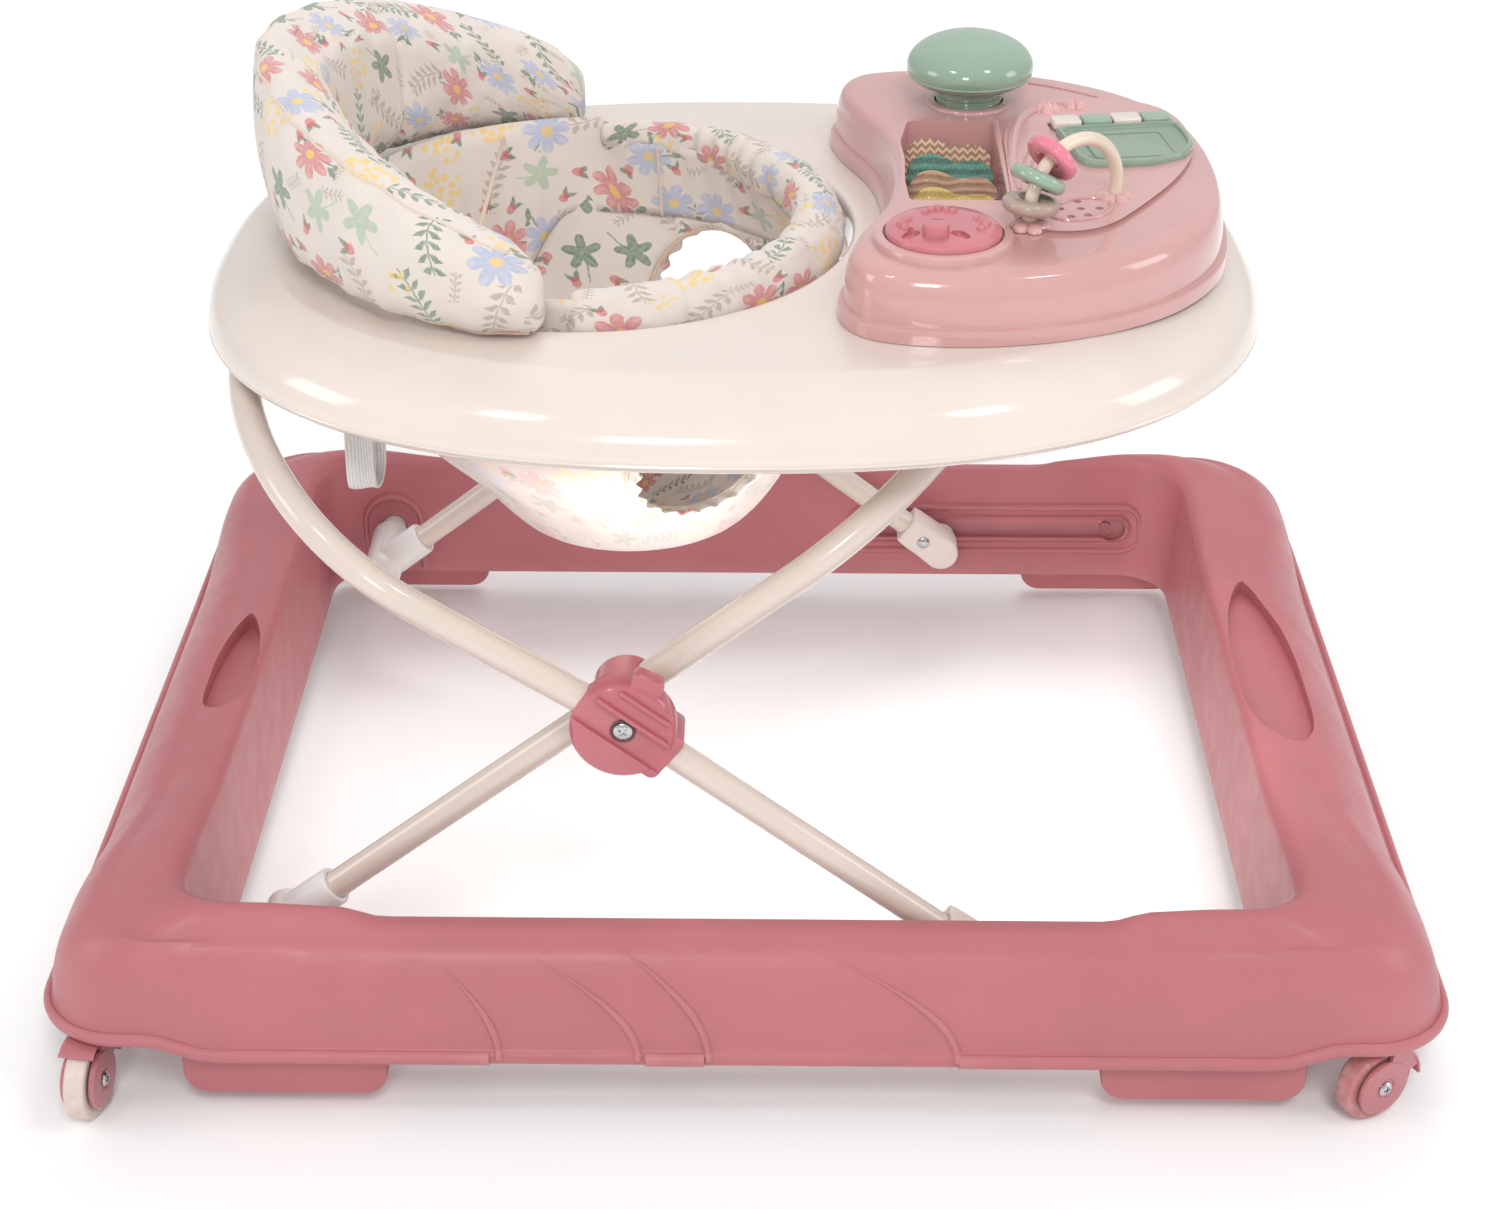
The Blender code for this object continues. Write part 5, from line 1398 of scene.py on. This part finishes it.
def build_keys():
    plate = rounded_outline(((-0.0330, -0.0010), (-0.0318, -0.0480), (-0.0270, -0.0560), (0.0040, -0.0575),
                             (0.0240, -0.0500), (0.0335, -0.0350), (0.0350, -0.0180), (0.0340, -0.0010)),
                            0.0050, 5)
    middle = Vector((0.0005, -0.0285))

    def scaled(share):
        return [middle + (p - middle) * share for p in plate]

    rows = []
    for share, z in ((0.985, 0.0004), (1.0, 0.0010), (1.0, 0.0030), (0.992, 0.0045), (0.968, 0.0054),
                     (0.915, 0.0054),
                     (0.905, 0.0048), (0.900, 0.0038), (0.885, 0.0034), (0.10, 0.0034)):
        rows.append([KEYS_AT @ Vector((*p, z)) for p in scaled(share)])
    panel = skin(rows, caps=True)
    piece("key_plate", panel, "mint_panel", "console", ("key_panel",), 40)
    low, high = (-0.0215, -0.0470), (0.0205, -0.0125)
    loop = [KEYS_AT @ Vector((*p, 0.0036)) for p in rounded_box_outline(low, high, 0.0030, 4)]
    piece("key_plate_inset", sweep(loop, 0.0005, 8, closed=True), "mint_panel", "console")
    for number in range(1, 5):
        x = -0.0330 + 0.0163 * (number - 1)
        key = prism(rounded_box_outline((x + 0.0004, -0.0002), (x + 0.0159, 0.0120), 0.0022, 5), 0.0022,
                    0.0068,
                    0.0014, 4, place=KEYS_AT)
        piece("key_cap_%d" % number, key, "tray" if number % 2 else "mint", "key_%d" % number,
              ("key_%d" % number,), 50)


# ---------------------------------------------------------------- soft goods
CLOTH_THICK, THIN_CLOTH, WEBBING_THICK = 0.0010, 0.0009, 0.0014
CUSHION_HALF_TURN, COLLAR_HALF_TURN = math.radians(87), math.radians(91)


PUFF_FRAMES = 20


def puff(obj, pressure, cap, voxel=0.005):
    """Inflate a closed form as cloth; no point moves further than the cap."""
    mod = obj.modifiers.new("remesh", "REMESH")
    mod.mode, mod.voxel_size, mod.use_smooth_shade = "VOXEL", voxel, True
    bake(obj)
    before = [v.co.copy() for v in obj.data.vertices]
    cloth = obj.modifiers.new("cloth", "CLOTH")
    settings = cloth.settings
    settings.use_pressure, settings.uniform_pressure_force = True, pressure
    settings.quality, settings.mass = 5, 0.15
    settings.effector_weights.gravity = 0.0
    settings.tension_stiffness, settings.compression_stiffness = 8.0, 8.0
    settings.bending_stiffness = 0.3
    cloth.collision_settings.use_collision = False
    cloth.point_cache.frame_start, cloth.point_cache.frame_end = 1, PUFF_FRAMES
    for step in range(1, PUFF_FRAMES + 1):
        bpy.context.scene.frame_set(step)
        bpy.context.view_layer.update()
    bake(obj)
    for v, rest in zip(obj.data.vertices, before):
        moved = v.co - rest
        if moved.length > cap:
            v.co = rest + moved.normalized() * cap
    bpy.context.scene.frame_set(1)
    return obj


def refine(obj):
    mod = obj.modifiers.new("fine", "SUBSURF")
    mod.levels = mod.render_levels = 1
    return bake(obj)


def round_seat(a, radius, z):
    """A place at an angle and distance from the seat opening's centre."""
    return Vector((SEAT_X + math.cos(a) * radius, math.sin(a) * radius, z))


def angle_about_seat(p, branch=0.0):
    """Angle round the seat opening's centre, with the branch cut at a chosen direction."""
    a = math.atan2(p.y, p.x - SEAT_X)
    while a < branch:
        a += 2 * math.pi
    while a >= branch + 2 * math.pi:
        a -= 2 * math.pi
    return a


def cloth_mesh(rows, uv_of, loop=True, cap=False, keep=None):
    """Quads between rows of points, with cloth coordinates from uv_of(column, row)."""
    bm = bmesh.new()
    layer = bm.loops.layers.uv.new("print")
    grid = [[bm.verts.new(p) for p in row] for row in rows]
    if cap:
        bm.faces.new(list(reversed(grid[0])))
    count = len(rows[0])
    for r, (low, high) in enumerate(zip(grid, grid[1:])):
        for i in range(count if loop else count - 1):
            j = (i + 1) % count
            corners = (low[i], low[j], high[j], high[i])
            if keep is None or keep(corners):
                places = ((i, r), (i + 1, r), (i + 1, r + 1), (i, r + 1))
                for item, place in zip(bm.faces.new(corners).loops, places):
                    item[layer].uv = uv_of(*place)
    return bm


def wrap_uv(obj, centre_of, half_of, branch, radius):
    """Cloth coordinates in metres: round the seat, and round the pad's own section."""
    layer = obj.data.uv_layers.new(name="print")
    for poly in obj.data.polygons:
        coords = []
        for index in poly.vertices:
            p = obj.data.vertices[index].co
            a = angle_about_seat(p, branch)
            cr, cz = centre_of(a)
            t, h = half_of(a)
            dr = math.hypot(p.x - SEAT_X, p.y) - cr
            dz = p.z - cz
            scale = 1.0 / max(abs(dr) / t, abs(dz) / h, 1e-6)
            qr, qz = dr * scale, dz * scale
            if abs(dr) / t >= abs(dz) / h:
                v = qz + h if dr > 0 else 2 * h + 2 * t + (h - qz)
            else:
                v = 2 * h + (t - qr) if dz > 0 else 4 * h + 2 * t + (qr + t)
            coords.append([a * radius, v, 4 * (t + h)])
        top = max(c[1] for c in coords)
        for c in coords:
            if top - c[1] > c[2] / 2:
                c[1] += c[2]
        for loop_index, c in zip(poly.loop_indices, coords):
            layer.data[loop_index].uv = (c[0], c[1])


def cushion_shape(a):
    """Centre and half sizes of the back cushion's section at an angle."""
    share = max(-1.0, min(1.0, (a - math.pi) / CUSHION_HALF_TURN))
    drop = abs(share) ** 1.9
    end = max(0.0, (abs(share) - 0.88) / 0.12)
    taper = max(0.50, math.sqrt(max(0.0, 1.0 - end ** 3)))
    bottom, top = TRAY_TOP_Z + 0.0010, 0.4785 - 0.070 * drop
    top = bottom + (top - bottom) * (0.70 + 0.30 * taper)
    return 0.1455 - 0.006 * drop, (bottom + top) / 2, 0.0192 * taper, (top - bottom) / 2


def build_cushion():
    rows, spans, around = [], 72, 32
    for i in range(spans + 1):
        a = math.pi + CUSHION_HALF_TURN * (-1.0 + 2.0 * i / spans)
        radius, mid, half_t, half_h = cushion_shape(a)
        ring = []
        for phase in turns(around):
            off = (half_t - 0.0030) * signed_power(math.cos(phase), 0.8)
            up = (half_h - 0.0015) * signed_power(math.sin(phase), 0.7)
            ring.append(round_seat(a, radius + off + 0.005 * (up + half_h) / 0.09, mid + up))
        rows.append(ring)
    obj = raw_object("back_pad", skin(rows, caps=True))
    puff(obj, 4.0, 0.0065)
    refine(obj)
    floor = TRAY_TOP_Z + 0.0007
    for v in obj.data.vertices:
        p = v.co
        a = angle_about_seat(p)
        radius, mid, half_t, half_h = cushion_shape(a)
        r = math.hypot(p.x - SEAT_X, p.y)
        side = 1.0 if r > radius else -1.0
        height = min(max((p.z - floor) / (2 * half_h), 0.0), 1.0)
        # puckers run down from the top seam and up from the bottom one
        ripple = 0.0011 * math.sin(a * 34.0 + 2.0 * math.sin(a * 5.0)) * smooth_step((height - 0.62) / 0.3)
        ripple += 0.0010 * math.sin(a * 41.0 + 1.7) * smooth_step((0.30 - height) / 0.3)
        ripple += 0.0016 * (noise.noise(Vector((a * 5.0, height * 3.0, side * 3.0))))
        channel = -0.0022 * math.exp(-((a - (math.pi + 0.62)) / 0.018) ** 2) if side < 0 else 0.0
        channel += -0.0022 * math.exp(-((a - (math.pi - 0.62)) / 0.018) ** 2) if side < 0 else 0.0
        push = side * (ripple + channel)
        v.co = round_seat(a, r + push, max(p.z, floor))
    wrap_uv(obj, lambda a: cushion_shape(a)[:2], lambda a: cushion_shape(a)[2:], 0.0, 0.150)
    piece("back_pad", obj, "print", "tray", ("back_cushion",), 180)

    path = []
    for i in range(97):
        a = math.pi + math.radians(85) * (-1.0 + 2.0 * i / 96)
        path.append(surface_out(obj, a, floor + 0.0030, cushion_shape(a)[0]))
    trim = sweep([p for p in path if p is not None], 0.0011, 8)
    piece("back_pad_piping", trim, "trim", "tray")
    seam = bmesh.new()
    path = []
    for i in range(97):
        a = math.pi + math.radians(84) * (-1.0 + 2.0 * i / 96)
        path.append(surface_out(obj, a, cushion_shape(a)[1] + cushion_shape(a)[3] * 0.80,
                                cushion_shape(a)[0]))
    sweep([p for p in path if p is not None], 0.0007, 8, into=seam)
    piece("back_pad_seam", seam, "seam", "tray")


def surface_out(obj, a, z, radius):
    """Where a level ray from the pad's middle leaves its outer side."""
    away = Vector((math.cos(a), math.sin(a), 0.0))
    start = Vector((SEAT_X + away.x * 0.25, away.y * 0.25, z))
    hit, place, _, _ = obj.ray_cast(start, -away, distance=0.25 - radius + 0.02)
    return place + away * 0.0002 if hit else None


def collar_shape(a):
    """Centre and half sizes of the front roll; it lies flatter where it meets the far wing."""
    share = max(-1.0, min(1.0, a / COLLAR_HALF_TURN))
    slim = 1.0 - abs(share) ** 8 * 0.25
    flat = smooth_step((a - 0.62) / 0.55)
    return (0.1212 + 0.0050 * flat, 0.3690 + 0.0010 * flat, (0.0155 - 0.0055 * flat) * slim,
            (0.0170 - 0.0020 * flat) * slim)


def build_collar():
    rows, spans, around = [], 72, 24
    for i in range(spans + 1):
        a = COLLAR_HALF_TURN * (-1.0 + 2.0 * i / spans)
        radius, mid, half_t, half_h = collar_shape(a)
        ring = []
        for phase in turns(around):
            out = radius + (half_t - 0.0018) * math.cos(phase) - 0.0035 * math.sin(phase)
            ring.append(round_seat(a, out, mid + (half_h - 0.0015) * math.sin(phase)))
        rows.append(ring)
    obj = raw_object("front_roll", skin(rows, caps=True))
    puff(obj, 4.0, 0.005, voxel=0.004)
    refine(obj)
    for v in obj.data.vertices:
        p = v.co
        a = angle_about_seat(p, -math.pi)
        radius, mid, half_t, half_h = collar_shape(a)
        r = math.hypot(p.x - SEAT_X, p.y)
        phase = math.atan2(p.z - mid, r - radius)
        gather = math.sin(a * 46.0 + 2.4 * math.sin(a * 7.0)) * (0.45 + 0.55 * math.cos(phase - 2.4))
        front = 1.0 - smooth_step((abs(a) - 0.9) / 0.4) * 0.5
        push = 0.00105 * gather * front + 0.0012 * noise.noise(Vector((a * 9.0, phase * 1.2, 0.0)))
        push -= 0.0020 * math.exp(-((abs(a) - 1.12) / 0.02) ** 2)
        v.co = round_seat(a, r + push * math.cos(phase), p.z + push * math.sin(phase))
    wrap_uv(obj, lambda a: collar_shape(a if a < math.pi else a - 2 * math.pi)[:2],
            lambda a: collar_shape(a if a < math.pi else a - 2 * math.pi)[2:], -math.pi, 0.120)
    piece("front_roll", obj, "print", "tray", ("collar_pad",), 180)


SLING_LEVELS = catmull(((0.1300, 0.1300, 0.0, 0.3480), (0.1262, 0.1250, 0.001, 0.3200),
                        (0.1120, 0.1090, 0.007, 0.2750),
                        (0.0870, 0.0780, 0.018, 0.2350), (0.0620, 0.0520, 0.020, 0.2030),
                        (0.0340, 0.0270, 0.016, 0.1920), (0.0060, 0.0040, 0.015, 0.1905)), 6)
LEG_START, LEG_STOP, LEG_R = Vector((-0.052, 0.035, 0.2820)), Vector((-0.004, 0.130, 0.2820)), 0.0410


def leg_line(side):
    """Start and direction of the axis along which a leg leaves the seat, on the side of side's sign."""
    start = Vector((LEG_START.x, math.copysign(LEG_START.y, side), LEG_START.z))
    axis = Vector((LEG_STOP.x - LEG_START.x, math.copysign(1, side) * (LEG_STOP.y - LEG_START.y), 0.0))
    return start, axis.normalized()


def leg_hole_distance(p):
    """How far a place is from the edge of the leg hole on its side; negative inside it."""
    start, axis = leg_line(p.y)
    along = (p - start).dot(axis)
    if along < 0.0:
        return 1.0
    return ((p - start) - axis * along).length - LEG_R


def sling_point(a, level):
    rx, ry, shift, z = level
    folds = 0.0016 * math.sin(a * 11.0 + 1.3 * math.sin(a * 3.0)) * smooth_step((z - 0.20) / 0.06)
    folds += 0.0012 * math.sin(a * 29.0 + z * 60.0) * smooth_step((z - 0.29) / 0.05)
    return Vector((SEAT_X + shift + (rx + folds) * math.cos(a), (ry + folds) * math.sin(a), z))


def build_sling():
    """Hanging seat with a leg hole on each side, its outer face showing the print's back."""
    count = 168
    rows = [[sling_point(a, level) for a in turns(count)] for level in reversed(SLING_LEVELS)]
    arc = [0.0]
    for lower, upper in zip(rows, rows[1:]):
        arc.append(arc[-1] + (upper[0] - lower[0]).length)

    def off_the_holes(corners):
        middle = sum((v.co for v in corners), Vector()) / 4
        return not leg_hole_distance(middle) < -0.0010

    bm = cloth_mesh(rows, lambda k, row: (2 * math.pi * k / count * 0.105, arc[row]), cap=True,
                    keep=off_the_holes)
    for v in bm.verts:
        gap = leg_hole_distance(v.co)
        if v.is_boundary and gap < 0.02 and v.co.z < 0.345:
            start, axis = leg_line(v.co.y)
            off = (v.co - start) - axis * (v.co - start).dot(axis)
            v.co -= off.normalized() * gap
    loose = [v for v in bm.verts if not v.link_faces]
    bmesh.ops.delete(bm, geom=loose, context="VERTS")
    bmesh.ops.recalc_face_normals(bm, faces=bm.faces)
    obj = raw_object("seat_bowl", bm)
    solidify(obj, CLOTH_THICK, 0.0, even=False)
    piece("seat_bowl", obj, "print", "tray", ("seat_sling",), 180)
    obj.data.materials.append(MAT["sheer"])
    for poly in obj.data.polygons:
        away = Vector((poly.center.x - SEAT_X - 0.015, poly.center.y, (poly.center.z - 0.33) * 0.8))
        poly.material_index = 1 if poly.normal.dot(away) > 0 else 0

    for label, side in SIDES:
        start, axis = leg_line(side)
        across, rise = Vector((-axis.y, axis.x, 0.0)), Vector((0, 0, 1))
        rim = []
        for a in turns(120):
            off = (across * math.cos(a) + rise * math.sin(a)) * LEG_R
            rim.append(leg_rim_point(start + off, axis))
        bands = []
        for share in (0.0, 0.25, 0.5, 0.75, 1.0):
            band = []
            for a, p in zip(turns(120), rim):
                wave = math.sin(a * 22.0 + math.sin(a * 4.0)) * 0.0016 * share
                inward = -(across * math.cos(a) + rise * math.sin(a))
                band.append(p + axis * (0.0105 * share + wave * 0.6) + inward * (0.0015 * share + wave)
                            - axis * 0.001)
            bands.append(band)
        hem = raw_object("leg_hem_" + label, cloth_mesh(bands, lambda k,
                                                        row: (k * 0.0027, 0.4 + row * 0.0028)))
        solidify(hem, THIN_CLOTH, 0.0, even=False)
        piece(hem.name, hem, "print", "tray", sharp=180)
        band = sweep([p - axis * 0.0004 for p in rim], 0.0012, 8, closed=True)
        piece("leg_piping_" + label, band, "trim", "tray")
    edge = [sling_point(a, SLING_LEVELS[0]) - Vector((0, 0, 0.0006)) for a in turns(144)]
    piece("seat_bowl_binding", sweep(edge, 0.0013, 8, closed=True), "trim", "tray")


def leg_rim_point(start, axis):
    """Follow a leg hole's side line outwards to where it meets the sling's wall."""
    low, high = 0.0, 0.30
    for _ in range(40):
        mid = (low + high) / 2
        p = start + axis * mid
        if inside_sling(p):
            low = mid
        else:
            high = mid
    return start + axis * low


def inside_sling(p):
    heights = [level[3] for level in SLING_LEVELS]
    for upper, lower in zip(SLING_LEVELS, SLING_LEVELS[1:]):
        if lower[3] <= p.z <= upper[3]:
            s = (p.z - lower[3]) / max(upper[3] - lower[3], 1e-9)
            rx, ry, shift, _ = (lower[k] + (upper[k] - lower[k]) * s for k in range(4))
            return ((p.x - SEAT_X - shift) / rx) ** 2 + (p.y / ry) ** 2 < 1.0
    return heights[-1] <= p.z <= heights[0]


def facing_point(a, share):
    """From under the pads at share 0 down to the sling's wall at share 1."""
    front = smooth_step((math.cos(a) + 0.02) / 0.16)
    thin = smooth_step((math.sin(a) - 0.58) / 0.34)
    radius = 0.1292 * (1 - front) + (0.1085 + 0.0100 * thin) * front
    rear = 1.0 - smooth_step((math.cos(a) + 0.48) / 0.34)
    radius += (0.1252 - 0.0135 * rear - radius) * share
    top = 0.3810 * (1 - front) + 0.3700 * front
    z = top + (0.3262 - 0.0370 * rear - top) * share
    return round_seat(a, radius, z)


def build_liner():
    """Facing all round the opening, from the pads down to the sling."""
    count = 241
    rows = []
    for r in range(11):
        share = r / 10
        row = []
        for i in range(count):
            a = 2 * math.pi * i / (count - 1)
            p = facing_point(a, share)
            fold = 0.0008 * math.sin(a * 37.0 + 2.0 * math.sin(a * 6.0)) * math.sin(math.pi * share)
            row.append(p + Vector((math.cos(a), math.sin(a), 0)) * fold)
        rows.append(row)
    bm = cloth_mesh(rows, lambda k, row: (k * 0.0030, 0.7 - (rows[row][k] - rows[0][k]).length), loop=False)
    bmesh.ops.remove_doubles(bm, verts=bm.verts, dist=1e-6)
    obj = raw_object("seat_facing", bm)
    solidify(obj, THIN_CLOTH, 0.0, even=False)
    piece("seat_facing", obj, "print", "tray", sharp=180)
    seam = [facing_point(1.30, 0.04 + 0.96 * k / 12) - Vector((math.cos(1.30), math.sin(1.30), 0)) * 0.0010
            for k in range(13)]
    piece("seat_facing_seam", sweep(seam, 0.0009, 8), "seam", "tray")


def build_strap():
    """Webbing loop behind the seat, its two ends sewn under the tray."""
    centre = catmull([Vector(p) for p in (
        (0.0005, 0.0), (0.0065, -0.018), (0.0118, -0.036), (0.0128, -0.058), (0.0105, -0.0675),
        (0.0040, -0.0714),
        (-0.0022, -0.0690), (-0.0036, -0.0580), (-0.0030, -0.0360), (-0.0046, -0.018), (-0.0060, 0.0))], 6)
    rows, arc = [], [0.0]
    columns = 7
    for i, p in enumerate(centre):
        if i:
            arc.append(arc[-1] + (p - centre[i - 1]).length)
        twist = 0.0018 * math.sin(i * 0.11)
        rows.append([Vector((-0.186 - 0.0068 + 0.0136 * k / (columns - 1) + twist,
                             -0.147 + p.x * 0.9 + 0.0012 * math.sin(k + i * 0.1),
                             0.3500 + p.y * 0.86)) for k in range(columns)])
    obj = raw_object("strap_loop", cloth_mesh(rows, lambda k, row: (k * 0.0023, arc[row]), loop=False))
    solidify(obj, WEBBING_THICK, 0.0, even=False)
    piece("strap_loop", obj, "webbing", "tray", ("seat_strap",), 40)


# ---------------------------------------------------------------- carried-over CAD nodes
def dress_frame():
    for names, material in ((("rear_bar_clip_near", "rear_bar_clip_far", "front_bar_rack"), "fitting"),
                            (("height_lock",), "hub"), (("console_base_plate",), "boss"),
                            (("circuit_board",), "board"), (("speaker",), "black"),
                            (("battery_door",), "console")):
        for name in names:
            NODES[name].data.materials.clear()
            NODES[name].data.materials.append(MAT[material])


# ---------------------------------------------------------------- stage, light, camera
LAMPS = (  # name, place, target, size, watts
    ("key", (0.3, -2.2, 2.5), (0, 0, 0.1), 0.8, 35.0),
    ("under", (0.05, -0.16, 0.235), (0.05, 0.26, 0.07), 0.35, 0.5),
    ("left", (-2.2, -0.5, 1.0), (0, 0, 0.1), 0.8, 6.0),
    ("right", (2.2, -0.4, 1.0), (0, 0, 0.1), 0.8, 6.0),
    ("back", (0.4, 2.2, 2.3), (0, 0.5, 0.0), 1.4, 36.0),
    ("front_strip", (-0.35, -2.3, 1.3), (0.05, 0, 0.3), 0.42, 8.0),
    ("spot_left", (-0.75, -0.9, 1.75), (0.10, 0, 0.4), 0.22, 2.2),
    ("spot_right", (0.75, -0.7, 1.65), (0.15, 0, 0.4), 0.20, 2.0))
UNDER_LAMP_HEIGHT, WORLD_STRENGTH = 0.04, 0.62
CAMERA_PLACE, CAMERA_DOWN, CAMERA_ROLL = (0.0157, -1.2871, 0.8813), 0.5231, 0.0123
LENS_MM, SENSOR_MM = 62.96, 36.0


def build_stage():
    bm = bmesh.new()
    bmesh.ops.create_grid(bm, x_segments=2, y_segments=2, size=6.0)
    floor = raw_object("floor", bm)
    net = Net("floor_paper")
    net.set(Base_Color=net.mix(net.noise(3.0, 3.0), (0.92, 0.92, 0.92), (0.94, 0.94, 0.94)), Roughness=0.65,
            Normal=net.bump(net.noise(400.0, 2.0), 0.05, 0.0003))
    net.shader.inputs["Specular IOR Level"].default_value = 0.25
    floor.data.materials.append(net.material)

    world = bpy.data.worlds.new("studio")
    bpy.context.scene.world = world
    world.use_nodes = True
    world.node_tree.nodes["Background"].inputs["Color"].default_value = (1.0, 1.0, 1.0, 1.0)
    world.node_tree.nodes["Background"].inputs["Strength"].default_value = WORLD_STRENGTH
    for name, place, target, size, power in LAMPS:
        data = bpy.data.lights.new(name, "AREA")
        data.size, data.energy = size, power
        if name == "under":  # a thin strip, so that no part of it stands through the tray
            data.shape, data.size_y = "RECTANGLE", UNDER_LAMP_HEIGHT
        lamp = bpy.data.objects.new(name, data)
        lamp.matrix_world = Matrix.Translation(place) @ (
            Vector(target) - Vector(place)).to_track_quat("-Z", "Y").to_matrix().to_4x4()
        lamp.visible_glossy = name not in ("key", "back", "under")
        lamp.visible_camera = name != "under"
        bpy.context.scene.collection.objects.link(lamp)

    data = bpy.data.cameras.new("camera")
    data.lens, data.sensor_width = LENS_MM, SENSOR_MM
    camera = bpy.data.objects.new("camera", data)
    camera.location = CAMERA_PLACE
    camera.rotation_euler = (math.pi / 2 - CAMERA_DOWN, 0.0, CAMERA_ROLL)
    bpy.context.scene.collection.objects.link(camera)
    bpy.context.scene.camera = camera
    bpy.context.scene.view_settings.view_transform = "Standard"


build_base()
for corner_label, corner_x, corner_y in CORNERS:
    build_caster(corner_label, corner_x, corner_y)
build_linkage()
build_tray()
build_console()
build_controls()
build_keys()
build_cushion()
build_collar()
build_sling()
build_liner()
build_strap()
dress_frame()
build_stage()
